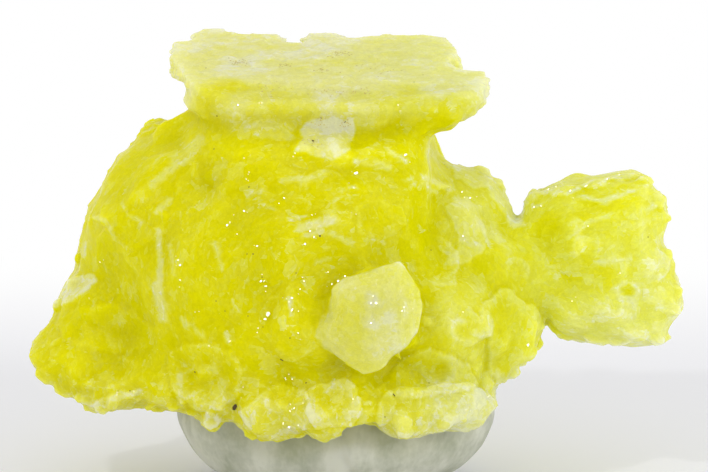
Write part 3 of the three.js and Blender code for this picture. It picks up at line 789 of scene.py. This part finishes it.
def inside_outline(pixels, outline):
    """How many pixels inside an outline each place is; below zero outside it."""
    far = np.full(len(pixels), 1e9)
    odd = np.zeros(len(pixels), dtype=bool)
    x, y = pixels.T
    for a, b in zip(outline, np.roll(outline, -1, axis=0)):
        far = np.minimum(far, from_line(pixels, a, b))
        crossed = (a[1] > y) != (b[1] > y)
        across, height = b - a
        odd ^= crossed & (x < a[0] + (y - a[1]) * across / (height or 1))
    return np.where(odd, far, -far)


def facing_camera(normals):
    """1 where the skin faces the camera, and 0 where it turns away."""
    return smoothstep(-0.1, 0.4, normals @ BACKWARDS)


def lobe_fields(form, points, normals):
    """How far the lobes move the skin outwards, and how pale they make it."""
    height, pale = np.zeros((2, len(points)))
    pixels, depth = pixels_of(points)
    facing = facing_camera(normals)
    ragged = 0.14 * noise(points, 0.55, 8) + 0.2 * noise(points, 1.3, 9)
    for rise, inner, rim, outline, far in form.lobes:
        low, high = outline.min(axis=0) - 6, outline.max(axis=0) + 6
        inside = np.all((pixels > low) & (pixels < high), axis=1)
        near = np.flatnonzero(inside & (facing > 0) & (np.abs(depth - far) < 4))
        inwards = inside_outline(pixels[near], outline) * PITCH + ragged[near]
        step = smoothstep(0, 0.22, inwards) * facing[near]
        height[near] += 0.6 * rise * step * (1 - 0.35 * smoothstep(0.6, 2.2, inwards))
        pale[near] += step * (inner + 0.7 * rim * smoothstep(1.1, 0.2, inwards))
    return height, pale


def cup_fields(form, points):
    """How far the cups' rims and hollows move the skin, and how pale they make it."""
    height, pale = np.zeros((2, len(points)))
    ragged = 0.12 * noise(points, 0.4, 10) + 0.1 * noise(points, 0.8, 12)
    for k, (middle, out, radius) in enumerate(form.cups):
        near, offset = around(points, middle, 1.8 * radius)
        level = offset @ out
        first = unit(np.cross(out, [0.3, 0.2, 1.0]))
        x, y = offset @ first, offset @ np.cross(out, first)
        r = np.hypot(x, 1.25 * y) / radius + ragged[near]
        turn = np.arctan2(y, x)
        close = smoothstep(1.0, 0.5, np.abs(level) / radius)
        part = 0.7 + 0.5 * np.cos(turn + 1.7 * k)
        rim = np.exp(-(((r - 0.82) / 0.2) ** 2)) * close * part
        hollow = np.exp(-((r / 0.45) ** 2)) * close
        height[near] += 0.05 * radius * rim - 0.04 * radius * hollow
        pale[near] += 0.26 * rim - 0.2 * hollow
    return height, pale


def rim_fields(form, points):
    """How far small lobes' rims move the skin, and how pale they make it. The rims face away
    from the arcs' pole, and each lobe fades out behind its rim."""
    height, pale = np.zeros((2, len(points)))
    middles, normals = scattered(form.points, form.triangles, RIM_COUNT, 81)
    away = outward_from_pole(middles)
    ragged = 0.08 * noise(points, 0.4, 13) + 0.12 * noise(points, 1.0, 14)
    masks = region_masks(middles)
    draw = np.random.default_rng(82)
    for k in np.flatnonzero(masks["body"] | masks["tail"]):
        radius = draw.uniform(*RIM_RADII)
        squash, skew = draw.uniform(0.8, 1.6), draw.uniform(-1.1, 1.1)
        strength = 0.1 + 0.26 * draw.random() ** 2
        near, offset = around(points, middles[k], 1.5 * radius)
        first = unit(away[k] - normals[k] * (away[k] @ normals[k]))
        x, y = offset @ first, offset @ np.cross(normals[k], first)
        r = np.hypot(x, squash * y) / radius + ragged[near]
        part = smoothstep(-0.1, 0.6, np.cos(np.arctan2(y, x) + skew))
        part *= smoothstep(1.0, 0.5, np.abs(offset @ normals[k]) / radius)
        part *= smoothstep(1.06, 0.95, r) * smoothstep(0.35, 1.0, r)
        height[near] += 0.06 * radius * part
        pale[near] += strength * part
    return height, np.minimum(pale, 0.4)


def striae(points):
    """Fine lines along the crown's arcs, from -1 to 1."""
    away = points - ARC_POLE
    reach = np.hypot(away[:, 0], away[:, 2])
    along = 9 * np.arctan2(away[:, 0], away[:, 2])
    return noise(np.stack([along, reach, points[:, 1]], axis=1), np.array([1.7, 0.2, 3.0]), 33)


def streak_fields(form, points, normals):
    """How pale the streaks make the skin, the palest of it painted highlight."""
    pale = np.zeros(len(points))
    pixels, depth = pixels_of(points)
    facing = facing_camera(normals)
    ragged = 0.06 * noise(points, 0.5, 17)
    for start, end, width, value, far in form.streaks:
        reach = PITCH * from_line(pixels, start, end) + ragged
        here = facing * (np.abs(depth - far) < 3)
        pale = np.maximum(pale, 0.85 * value * here * smoothstep(0.6 * width, 0.3 * width, reach))
    return pale


def blotches(points, pitch, seed):
    """Soft-edged patches from 0 to 1."""
    value = noise(points, pitch, seed) + 0.5 * noise(points, pitch / 2.2, seed + 1)
    return smoothstep(-0.25, 0.35, value)


def region_paleness(points):
    """How pale each region is on the whole."""
    height = slab_height(points)
    x, _, z = points.T
    behind = behind_front(points) + 2.2 * noise(points, 2.6, 30) + 1.2 * noise(points, 1.1, 31)
    slab = smoothstep(-SLAB_THICK - 0.2, -SLAB_THICK + 1.6, height + 0.6 * noise(points, 2, 32))
    value = slab * (0.48 + 0.3 * smoothstep(-0.6, 3.4, behind))
    value += smoothstep(10.5, 7, z) * (0.17 + 0.1 * smoothstep(-10, -6, x))
    below = smoothstep(-2.5, -4, height)
    value += below * 0.35 * smoothstep(5, 9, x)
    value -= below * smoothstep(-2, -8, x) * (0.1 + 0.2 * smoothstep(11, 15, z))
    tail = smoothstep(16, 18, x)
    value += tail * (0.03 + 0.24 * smoothstep(18, 11, z) - 0.1 * smoothstep(20, 23, z))
    rosette = smoothstep(-6, -3.5, inside_outline(pixels_of(points)[0], ROSETTE_OUTLINE))
    rosette *= smoothstep(-1.5, -1.1, rosette_axis(points)[0])
    value += 0.66 * rosette
    return value


def paleness(form, points, edges, normals):
    """How pale each point of the skin is, from 0 in its depths to 1 where it is thin."""
    near = relaxed(points, edges, 5)
    far = relaxed(near, edges, 30, 0.9)
    ridge = np.sum((points - near) * normals, axis=1)
    swell = np.sum((near - far) * normals, axis=1)
    value = region_paleness(points) - 0.08
    value += 1.6 * np.clip(ridge, -0.1, 0.1) + 0.35 * np.clip(swell, -0.3, 0.5)
    value += 0.2 * blotches(points, 4.0, 3) * blotches(points, 1.7, 7)
    lobes = lobe_fields(form, points, normals)[1]
    value += cup_fields(form, points)[1] + lobes
    value += rim_fields(form, points)[1]
    masks = region_masks(points)
    value += masks["body"] * 0.05 * striae(points) * smoothstep(15, 20, points[:, 2])
    value += masks["body"] * 0.16 * smoothstep(0.4, 0.1, np.abs(normals[:, 1]))
    for place, radius, pale in form.spots:
        reach = np.linalg.norm(points - place, axis=1) / radius
        value += pale * np.exp(-(reach**2))
    most = np.where(masks["body"] & (lobes < 0.5), 0.85, 1.0)
    return np.maximum(np.minimum(value, most), streak_fields(form, points, normals))


def busyness(points):
    """How much the finer crystals differ from each other, from 0 to 1."""
    masks = region_masks(points)
    value = masks["body"] * (0.7 - 0.2 * smoothstep(4, 10, points[:, 0]))
    value += masks["slab"] * (0.28 + 0.5 * smoothstep(3, 0, behind_front(points)))
    return value + 0.5 * masks["tail"] + 0.38 * masks["rosette"]


def tints_and_painted_light(points):
    """The red, green and blue of each point's colour, beside those of its paleness. The
    tail and what is to the right are greener, with painted light making them brighter;
    painted light lifts the shade in the crease below the slab and in the corners beside
    the neck, painted shade darkens the slab's front edge and the rosette, and the lower
    part is darker."""
    tail = smoothstep(12, 18, points[:, 0])
    front = smoothstep(-SLAB_THICK - 0.6, -SLAB_THICK + 0.8, slab_height(points))
    front *= smoothstep(3.5, 1, behind_front(points))
    # Painted light brightens the tail; painted shade darkens the slab's front edge and the rosette.
    painted_light_gain = 1 + 0.085 * tail - 0.08 * front - 0.05 * region_masks(points)["rosette"]
    # Darker towards the bottom.
    painted_light_gain -= 0.05 * smoothstep(11, 8, points[:, 2])
    # Painted light in the crease below the slab, where shade falls.
    crease = smoothstep(1.1, 0.4, np.abs(from_crease(points))) * (points[:, 1] < 0)
    painted_light_gain += 0.04 * crease
    # Painted light in the deep corners beside the neck, where shade falls.
    for corner in NECK_CORNERS:
        painted_light_gain += 0.13 * np.exp(-(np.hypot(*(points[:, ::2] - corner).T) ** 2) / 2)
    red = 1.01 - 0.045 * smoothstep(-4, 18, points[:, 0])
    return np.stack([painted_light_gain * red, painted_light_gain, painted_light_gain], axis=1)


def paint(mesh, form, crystals):
    """Gives each face's corners the paleness there, and their place in the pattern of the
    crystal that the face is on."""
    points, edges, normals = arrays_of(mesh)
    corners = corners_of(mesh)
    sides = read(mesh.polygons, "loop_total", 1, np.int64)
    middles = read(mesh.polygons, "center", 3)
    chosen, edge = crystals.under(middles, 40)
    draw = np.random.default_rng(41)
    count = len(crystals.centre)
    rare = 6 - 3 * smoothstep(12, 9, crystals.centre[:, 2])
    tone = draw.normal(0, 0.07, count) + 0.36 * draw.random(count) ** rare
    low = smoothstep(11, 8, crystals.centre[:, 2])[chosen]
    tone = tone[chosen] + (0.12 + 0.16 * low) * smoothstep(0.12, 0.02, edge)
    tone *= 1.4 * busyness(middles)
    mine = np.repeat(chosen, sides)
    pale = paleness(form, points, edges, normals)[corners] + np.repeat(tone, sides)
    store(mesh, "pale", "CORNER", pale)
    store(mesh, "busy", "POINT", busyness(points))
    # Painted light and painted shade, with the greener tint towards the tail, for each point.
    store(mesh, "tint_and_painted_light", "POINT", tints_and_painted_light(points))
    offset = points[corners] - crystals.centre[mine]
    axes = (crystals.along, crystals.across, crystals.up)
    pattern = np.stack([np.sum(offset * axis[mine], axis=1) for axis in axes], axis=1)
    pattern += draw.uniform(0, 60, (count, 3))[mine]
    store(mesh, "grain", "CORNER", pattern)


def dome_side(points):
    """1 on the edge between the dome's front and its right side, 0 elsewhere."""
    near = smoothstep(2.4, 1.2, np.abs(points[:, 0] - 8)) * smoothstep(-2, -4, points[:, 1])
    return near * smoothstep(15, 17, points[:, 2]) * smoothstep(28, 26, points[:, 2])


def worn_rosette(points):
    """The rosette's rim worn uneven."""
    away = unit(rosette_axis(points)[1])
    wear = 0.3 * noise(points, 1.1, 15) + 0.16 * noise(points, 0.45, 16)
    wear *= smoothstep(ROSETTE_RADIUS - 2, ROSETTE_RADIUS - 0.6, from_rosette(points))
    wear *= region_masks(points)["rosette"]
    return points + away * wear[:, None]


def needs_closing(points):
    """1 in the crease below the slab's front and round the rosette's rim, 0 elsewhere."""
    level = np.abs(from_crease(points))
    crease = smoothstep(3.4, 2.4, level) * smoothstep(4, 2, points[:, 1])
    crease *= smoothstep(10.5, 9.5, np.abs(points[:, 0] + 1))
    rim = smoothstep(ROSETTE_RADIUS + 2.5, ROSETTE_RADIUS + 1.5, from_rosette(points))
    return np.maximum(crease, 0.4 * rim * smoothstep(-8, -9, points[:, 1]))


def closed(mesh):
    """A mesh with the slits filled where the crystals grew together."""
    for way in (CLOSING, -CLOSING):
        points = points_of(mesh)
        move(mesh, points + normals_of(mesh) * (way * needs_closing(points))[:, None])
        if way > 0:
            mesh = fused(mesh, CLOSING_GRAIN)
    return mesh


def shown(name, mesh, material):
    """An object in metres from a mesh in mm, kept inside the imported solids' box."""
    move(mesh, np.clip(points_of(mesh), LOW, HIGH))
    mesh.transform(Matrix.Scale(MM, 4))
    obj = placed(name, mesh)
    mesh.materials.clear()
    mesh.materials.append(material)
    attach(obj, "root")
    return obj


def scattered_crystals(form):
    """All the crystals on the specimen."""
    groups = [tooth_crystals(form.find), streak_crystals(form.find)]
    for k, (region, (make, density)) in enumerate(REGIONS.items()):
        place, normal = scattered(form.points, form.triangles, int(density * form.area), k)
        mine = region_masks(place)[region]
        groups.append(make(place[mine], normal[mine], 10 + k))
    return together(groups)


def on_back(normals):
    """1 where the skin faces the back, and 0 where it faces the display side."""
    return smoothstep(0, 0.5, normals[:, 1])


def smoothness(points, normals, crystals):
    """How much of the crystals' relief is taken away at each point, from 0 to 1."""
    masks = region_masks(points)
    sides = smoothstep(0.45, 0.2, np.abs(normals[:, 1]))
    share = masks["body"] * (0.25 + 0.25 * smoothstep(9, 12, points[:, 2])) * (1 - 0.6 * sides)
    share += masks["tail"] * (0.75 - 0.65 * sides)
    share *= 1 - 0.7 * on_back(normals)
    lip = smoothstep(3, 1, behind_front(points))
    share += masks["slab"] * (0.35 + 0.5 * lip) * (1 - 0.5 * sides)
    share += 0.55 * masks["rosette"]
    share[(np.abs(from_crease(points)) < 1.2) & (points[:, 1] < 0)] = 0.9
    share[within(points, PATCH_AT, 2.6)] = 0.85
    share = np.maximum(share, 0.9 * dome_side(points))
    for place, length in zip(crystals.centre, crystals.length[: len(TEETH)]):
        share[within(points, place, 0.6 * length + 0.4)] *= 0.3
    share[within(points, KNOB_AT, 1.2)] = 0.2
    return share


def specimen(material):
    """The specimen: its solid and its crystals, fused, lightened and coloured. Gives the
    tree of its skin."""
    form = Form()
    crystals = scattered_crystals(form)
    whole = closed(form.mesh)
    whole = (points_of(whole), corners_of(whole).reshape(-1, 4).tolist())
    mesh = mesh_from(*joined([form.solid, whole, crystals.mesh(20)]))
    mesh = outer_shell(fused(mesh, GRAIN))
    points, edges, _ = arrays_of(mesh)
    points = worn_rosette(relaxed(points, edges, 1))
    broad = relaxed(points, edges, 25, 0.9)
    move(mesh, broad)
    normals = normals_of(mesh)
    share = smoothness(points, normals, crystals)
    points += relaxed(share[:, None], edges, 3) * (broad - points)
    height = cup_fields(form, points)[0] + lobe_fields(form, points, normals)[0]
    height += rim_fields(form, points)[0] * (1 + 1.5 * on_back(normals))
    move(mesh, points + normals * height[:, None])
    mesh = modified(mesh, "DECIMATE", ratio=min(1, MOST_TRIANGLES / (2 * len(mesh.polygons))))
    paint(mesh, form, crystals)
    mesh.shade_smooth()
    mesh.set_sharp_from_angle(angle=SHARP_FROM)
    skin = tree_of(mesh)
    obj = shown("crystals", mesh, material)
    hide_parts("brucite")
    return skin


def on_skin(skin, spots):
    """Where spots in pixels are on the skin, the way out there, their sizes in mm, and the
    square roots of how long they are for their width."""
    x, y, sizes, slims = np.array(spots, float).T
    places, out = find_all(find_from_camera(skin), zip(x, y))
    return places, out, sizes * PITCH, np.sqrt(slims)


def glints(skin, material):
    """Small flat crystals in the skin that lean so that they mirror the lamp."""
    draw = np.random.default_rng(60)
    spots = list(GLINTS)
    for x, y, _, _ in GLINTS:
        near = draw.normal(0, COMPANION_REACH, 2)
        spots.append((x + near[0], y + near[1], draw.uniform(0.9, 1.5), 1))
    places, _, sizes, slims = on_skin(skin, spots)
    lamp = unit(np.array(KEY_AT) - places)
    eye = unit(EYE - places)
    up = unit(unit(lamp + eye) + draw.normal(0, 0.012, (len(spots), 3)))
    along = np.cross(up, [0, 1, 0]) + draw.normal(0, 0.5, (len(spots), 3))
    length = 0.7 * sizes * slims
    width = 0.7 * sizes / slims
    lift = 0.25 * np.minimum(length, width)[:, None] + 0.02
    facets = Crystals(places + lift * eye, along, up, length, width, 0.3 + 0.6 * length)
    shown("glints", mesh_from(*facets.mesh(61)), material)


def dust_spots():
    """The grains of dust as (x, y, size, slim) in pixels, as DIRT gives them."""
    draw = np.random.default_rng(70)
    spots = []
    for x, y, wide, high, count in DUST:
        for _ in range(count):
            near = draw.normal(0, 0.5, 2) * [wide, high]
            spots.append((x + near[0], y + near[1], draw.uniform(0.8, 1.7), 1.3))
    return spots


def grains(name, skin, spots, material, seed):
    """Flat grains that lie on the skin."""
    draw = np.random.default_rng(seed)
    places, up, sizes, slims = on_skin(skin, spots)
    along = draw.normal(0, 1, (len(spots), 3)) * [1, 0.3, 0.5]
    places = places + 0.12 * sizes[:, None] * up
    thick = 0.1 + 0.5 * sizes
    flat = Crystals(places, along, up, sizes * slims, sizes / slims, thick)
    shown(name, mesh_from(*flat.mesh(seed)), material)


# ---------- materials ----------


class Nodes:
    """The shader nodes of a material or of the world."""

    def __init__(self, owner):
        owner.use_nodes = True
        self.owner = owner
        self.tree = owner.node_tree

    def feed(self, node, inputs):
        """Sets some of a node's inputs to plain values, or links outputs to them."""
        for name, value in inputs.items():
            if isinstance(value, bpy.types.NodeSocket):
                self.tree.links.new(value, node.inputs[name])
            else:
                node.inputs[name].default_value = value

    def add(self, kind, inputs=None, **settings):
        """A new node with its settings, and some of its inputs by name or by place."""
        node = self.tree.nodes.new("ShaderNode" + kind)
        for key, value in settings.items():
            setattr(node, key, value)
        self.feed(node, inputs or {})
        return node

    def attribute(self, name, output="Fac"):
        """What the mesh stores under a name."""
        return self.add("Attribute", attribute_name=name).outputs[output]

    def number(self, operation, first, second):
        """A number worked out from two others."""
        return self.add("Math", {0: first, 1: second}, operation=operation).outputs[0]

    def vector(self, operation, first, second):
        """A vector worked out from two others, or their dot product."""
        node = self.add("VectorMath", {0: first, 1: second}, operation=operation)
        return node.outputs["Value" if operation == "DOT_PRODUCT" else "Vector"]

    def stepped(self, value, start, end, low, high):
        """A number that goes from low to high as another goes from start to end."""
        ends = {"From Min": start, "From Max": end, "To Min": low, "To Max": high}
        return self.add("MapRange", {"Value": value, **ends}).outputs["Result"]

    def facets(self, place, scale):
        """A pattern of flat crystals: two random values for each, and its tilted face's
        height."""
        scaled = self.vector("MULTIPLY", place, scale)
        cells = self.add("TexVoronoi", {"Vector": scaled, "Scale": 1}, voronoi_dimensions="3D")
        offset = self.vector("SUBTRACT", scaled, cells.outputs["Position"])
        lean = self.vector("SUBTRACT", cells.outputs["Color"], (0.5, 0.5, 0.5))
        height = self.vector("DOT_PRODUCT", offset, lean)
        split = self.add("SeparateColor", {"Color": cells.outputs["Color"]})
        return split.outputs["Red"], split.outputs["Green"], height

    def noise(self, place, scale, detail):
        """Noise with so many bumps to a metre along x, y and z."""
        scaled = self.vector("MULTIPLY", place, scale)
        inputs = {"Vector": scaled, "Scale": 1, "Detail": detail}
        return self.add("TexNoise", inputs).outputs["Fac"]

    def bumped(self, height, distance):
        """The way out of a surface that is raised by a height times a distance in mm."""
        inputs = {"Height": height, "Strength": 1.0, "Distance": distance * MM}
        return self.add("Bump", inputs).outputs["Normal"]

    def ramp(self, value, stops):
        """The colour at a value between stops, which are positions and their colours."""
        node = self.add("ValToRGB", {"Fac": value})
        elements = node.color_ramp.elements
        while len(elements) < len(stops):
            elements.new(0.5)
        for element, (position, color) in zip(elements, stops):
            element.position = position
            element.color = (*color, 1)
        return node.outputs["Color"]


def new_material(name):
    """A new material's nodes, and the shader among them."""
    nodes = Nodes(bpy.data.materials.new(name))
    return nodes, nodes.tree.nodes["Principled BSDF"]


# The finer crystals in each: how many to a mm along, across and through them, how much
# they vary in paleness, the share that stay plain and how much paler the others are, how
# much they vary in brightness, and how much the glossy ones tilt.
CHIPS = [
    ((1.3, 2.2, 1.8), 0.05, 0.88, 0.14, 0.04, 0.25),
    ((1.3, 4.5, 3.5), 0.02, 0.94, 0.34, 0.03, 0.2),
    ((3.2, 5.0, 4.0), 0.02, 0.92, 0.13, 0.05, 0.25),
    ((8.0, 10.0, 9.0), 0.015, 0.9, 0.05, 0.07, 0),
]

# The crystals' colours, from the depths to where they are thin.
YELLOWS = [
    (0.0, (0.66, 0.625, 0.0)),
    (0.2, (0.67, 0.64, 0.018)),
    (0.4, (0.68, 0.662, 0.06)),
    (0.6, (0.69, 0.682, 0.13)),
    (0.8, (0.70, 0.695, 0.23)),
    (0.9, (0.71, 0.708, 0.3)),
    (1.0, (0.715, 0.718, 0.42)),
]
GREYS = [(0.36, (0.38, 0.4, 0.305)), (0.64, (0.64, 0.645, 0.56))]
# Painted shade and yellow bounced light on the putty beside the crystals.
PAINTED_SHADE_OLIVE = (0.3, 0.3, 0.1, 1)
GLINT_YELLOW = (0.74, 0.73, 0.3)
DIRT_BROWN = (0.07, 0.045, 0.012)
DUST_OCHRE = (0.56, 0.47, 0.15)
FLOOR_WHITE = (0.9, 0.9, 0.935, 1)
WHITE = (1, 1, 1, 1)


def crystal_material():
    """Translucent crystal, coloured by its paleness and by the finer crystals in it."""
    nodes, shader = new_material("brucite")
    pale = nodes.attribute("pale")
    place = nodes.attribute("grain", "Vector")
    busy = nodes.attribute("busy")
    finer, bright, heights = 0.0, 1.0, None
    for scale, vary, plain, paler, shade, tilt in CHIPS:
        each, other, height = nodes.facets(place, scale)
        level = nodes.stepped(other, 0, 1, -shade / 2, shade / 2)
        bright = nodes.number("ADD", level, bright)
        mild = nodes.stepped(each, 0, 1, -vary, vary)
        strong = nodes.stepped(each, plain, plain + 0.04, 0, paler)
        finer = nodes.number("ADD", mild, finer)
        finer = nodes.number("ADD", strong, finer)
        if tilt:
            height = nodes.number("MULTIPLY", height, tilt)
            heights = nodes.number("ADD", height, heights) if heights else height
    finer = nodes.number("MULTIPLY", finer, busy)
    color = nodes.ramp(nodes.number("ADD", pale, finer), YELLOWS)
    lit = nodes.add("VectorMath", {"Vector": color, "Scale": bright}, operation="SCALE")
    # The base colour is multiplied by the tint, which carries painted light and painted shade.
    tint_and_painted_light = nodes.attribute("tint_and_painted_light", "Vector")
    looks = {
        "Base Color": nodes.vector("MULTIPLY", lit.outputs["Vector"], tint_and_painted_light),
        "Roughness": 0.25,
        "IOR": 1.5,
        "Specular IOR Level": 0.03,
        "Subsurface Weight": 1.0,
        "Subsurface Radius": (1.0, 0.95, 0.2),
        "Subsurface Scale": 0.0035,
        "Coat Normal": nodes.bumped(heights, 1.0),
        "Coat Weight": 0.05,
        "Coat Roughness": 0.08,
        "Coat IOR": 1.4,
    }
    nodes.feed(shader, looks)
    return nodes.owner


def plain_material(name, color, roughness, level=0.5):
    """A material of one colour. The level is how strongly it mirrors."""
    nodes, shader = new_material(name)
    looks = {"Base Color": (*color, 1), "Roughness": roughness, "Specular IOR Level": level}
    nodes.feed(shader, looks)
    return nodes.owner


def putty_material():
    """Kneaded putty: marbled in grey, with painted shade and painted yellow bounced light beside
    the crystals.
    """
    nodes, shader = new_material("putty")
    place = nodes.add("TexCoord").outputs["Object"]
    marble = nodes.noise(place, (420, 420, 150), 6)
    specks = nodes.noise(place, (2600, 2600, 2000), 2)
    marble = nodes.number("ADD", marble, nodes.stepped(specks, 0, 1, -0.1, 0.1))
    grey = nodes.ramp(marble, GREYS)
    # Painted shade and bounced yellow light where the putty meets the crystals.
    blend = {"Factor": nodes.attribute("painted_shade"), "A": grey, "B": PAINTED_SHADE_OLIVE}
    mixed = nodes.add("Mix", blend, data_type="RGBA")
    smears = nodes.noise(place, (150, 150, 700), 3)
    looks = {
        "Base Color": mixed.outputs["Result"],
        "Roughness": nodes.stepped(smears, 0.35, 0.65, 0.32, 0.6),
        "Normal": nodes.bumped(smears, 0.12),
        "Subsurface Weight": 0.2,
        "Subsurface Radius": (1.0, 1.0, 0.9),
        "Subsurface Scale": 0.001,
    }
    nodes.feed(shader, looks)
    return nodes.owner


def putty(material, skin):
    """The putty: kneaded uneven, with a fold in its front, and pressed to the skin."""
    points, triangles = node_arrays("putty")
    mesh = fused(mesh_from(points, triangles.tolist()), PUTTY_GRAIN)
    points, edges, _ = arrays_of(mesh)
    points = relaxed(points, edges, 40, 0.9)
    middle = (points.min(axis=0) + points.max(axis=0)) / 2
    taper = 1 - PUTTY_TAPER * smoothstep(6, 3, points[:, 2])
    points[:, :2] = middle[:2] + taper[:, None] * (points - middle)[:, :2]
    move(mesh, points)
    normals = normals_of(mesh)
    swell = 0.2 * noise(points, 4.5, 90) + 0.06 * noise(points, 1.6, 91)
    beside = points[:, 0] - PUTTY_FOLD - 0.5 * noise(points * [0, 0, 1], 2.0, 92)
    front = smoothstep(-3, -6, points[:, 1])
    swell -= 0.35 * front * np.exp(-((beside / 0.25) ** 2))
    swell += 0.25 * front * smoothstep(0, 0.4, beside) * smoothstep(3.5, 0.8, beside)
    above = smoothstep(0.2, 1.2, points[:, 2])
    points += normals * (swell * above)[:, None]
    for _ in range(2):
        hits = [skin.find_nearest(Vector(point)) for point in points]
        gap = np.array([hit[3] for hit in hits])
        target = np.array([hit[0] - hit[1] * PRESSED for hit in hits])
        points += (smoothstep(1.6, 0.8, gap) * above)[:, None] * (target - points)
        points = relaxed(points, edges, 2)
    points[:, 2] *= 1 - smoothstep(0.9, 0.2, points[:, 2])
    # Painted shade, tinged with yellow light from the crystals, where the putty meets them,
    # strongest in the middle.
    middle = np.exp(-(((points[:, 0] - 0.4) / 4.2) ** 2))
    painted_shade = smoothstep(2.6, 0.3, gap) * (0.25 + 0.75 * middle)
    store(mesh, "painted_shade", "POINT", painted_shade)
    move(mesh, points)
    mesh.shade_smooth()
    obj = shown("putty_lump", mesh, material)
    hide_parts("putty")


# ---------- the studio ----------

FLOOR_SIZE = 2.4  # m
FADE = (0.035, 0.095)  # m behind the middle, where the floor goes over into white
KEY_AT = (-160, -230, 260)
LAMPS_AIM = (0, 0, 16)

# The lamps: their places, their widths, and their watts.
LAMPS = {
    "key": (KEY_AT, 18, 0.18),
    "fill": ((230, -200, 120), 70, 0.2),
}

# The surroundings: how high over the horizon they start and end to get darker, and how
# bright they are below and above that.
SKY_HEIGHTS = (0.15, 0.9)
SKY_LIGHT = (0.975, 0.76)


def floor():
    """The floor, which goes over into plain white behind the specimen."""
    bpy.ops.mesh.primitive_plane_add(size=FLOOR_SIZE, location=(0, 0, 0))
    plane = bpy.context.object
    plane.name = "floor"
    nodes, shader = new_material("floor")
    place = nodes.add("NewGeometry").outputs["Position"]
    behind = nodes.add("SeparateXYZ", {"Vector": place}).outputs["Y"]
    ends = {"Value": behind, "From Min": FADE[0], "From Max": FADE[1]}
    faded = nodes.add("MapRange", ends, interpolation_type="SMOOTHSTEP").outputs["Result"]
    nodes.feed(shader, {"Base Color": FLOOR_WHITE, "Roughness": 0.6})
    white = nodes.add("Emission", {"Color": WHITE, "Strength": 1.0}).outputs["Emission"]
    mix = nodes.add("MixShader", {"Fac": faded, 1: shader.outputs["BSDF"], 2: white})
    output = nodes.tree.nodes["Material Output"]
    nodes.feed(output, {"Surface": mix.outputs["Shader"]})
    plane.data.materials.append(nodes.owner)


def stood(obj, place, away):
    """Puts a lamp or camera at a place in mm, with its back to where away points."""
    obj.location = Vector(place) * MM
    obj.rotation_mode = "QUATERNION"
    obj.rotation_quaternion = away.to_track_quat("Z", "Y")


def area_light(name, place, size, power):
    """A round lamp that shines on the specimen."""
    data = bpy.data.lights.new(name, "AREA")
    data.shape = "DISK"
    data.size = size * MM
    data.energy = power
    stood(placed(name, data), place, Vector(place) - Vector(LAMPS_AIM))


def studio():
    """The white surroundings, the lamps and the camera."""
    scene = bpy.context.scene
    nodes = Nodes(bpy.data.worlds.new("studio"))
    way = nodes.add("TexCoord").outputs["Generated"]
    height = nodes.add("SeparateXYZ", {"Vector": way}).outputs["Z"]
    strength = nodes.stepped(height, *SKY_HEIGHTS, *SKY_LIGHT)
    nodes.feed(nodes.tree.nodes["Background"], {"Strength": strength, "Color": WHITE})
    scene.world = nodes.owner
    for name, (place, size, power) in LAMPS.items():
        area_light(name, place, size, power)
    scene.view_settings.view_transform = "Standard"
    data = bpy.data.cameras.new("camera")
    data.sensor_width = SENSOR
    data.lens = SENSOR * CAMERA_FAR / (PICTURE[0] * PITCH)
    data.clip_start = NEAREST
    camera = placed("camera", data)
    stood(camera, EYE, Vector(BACKWARDS))
    scene.camera = camera


studio()
floor()
skin = specimen(crystal_material())
glints(skin, plain_material("glint", GLINT_YELLOW, 0.19, 0.8))
grains("dirt", skin, DIRT, plain_material("dirt", DIRT_BROWN, 0.8), 71)
grains("dust", skin, dust_spots(), plain_material("dust", DUST_OCHRE, 0.9), 72)
putty(putty_material(), skin)
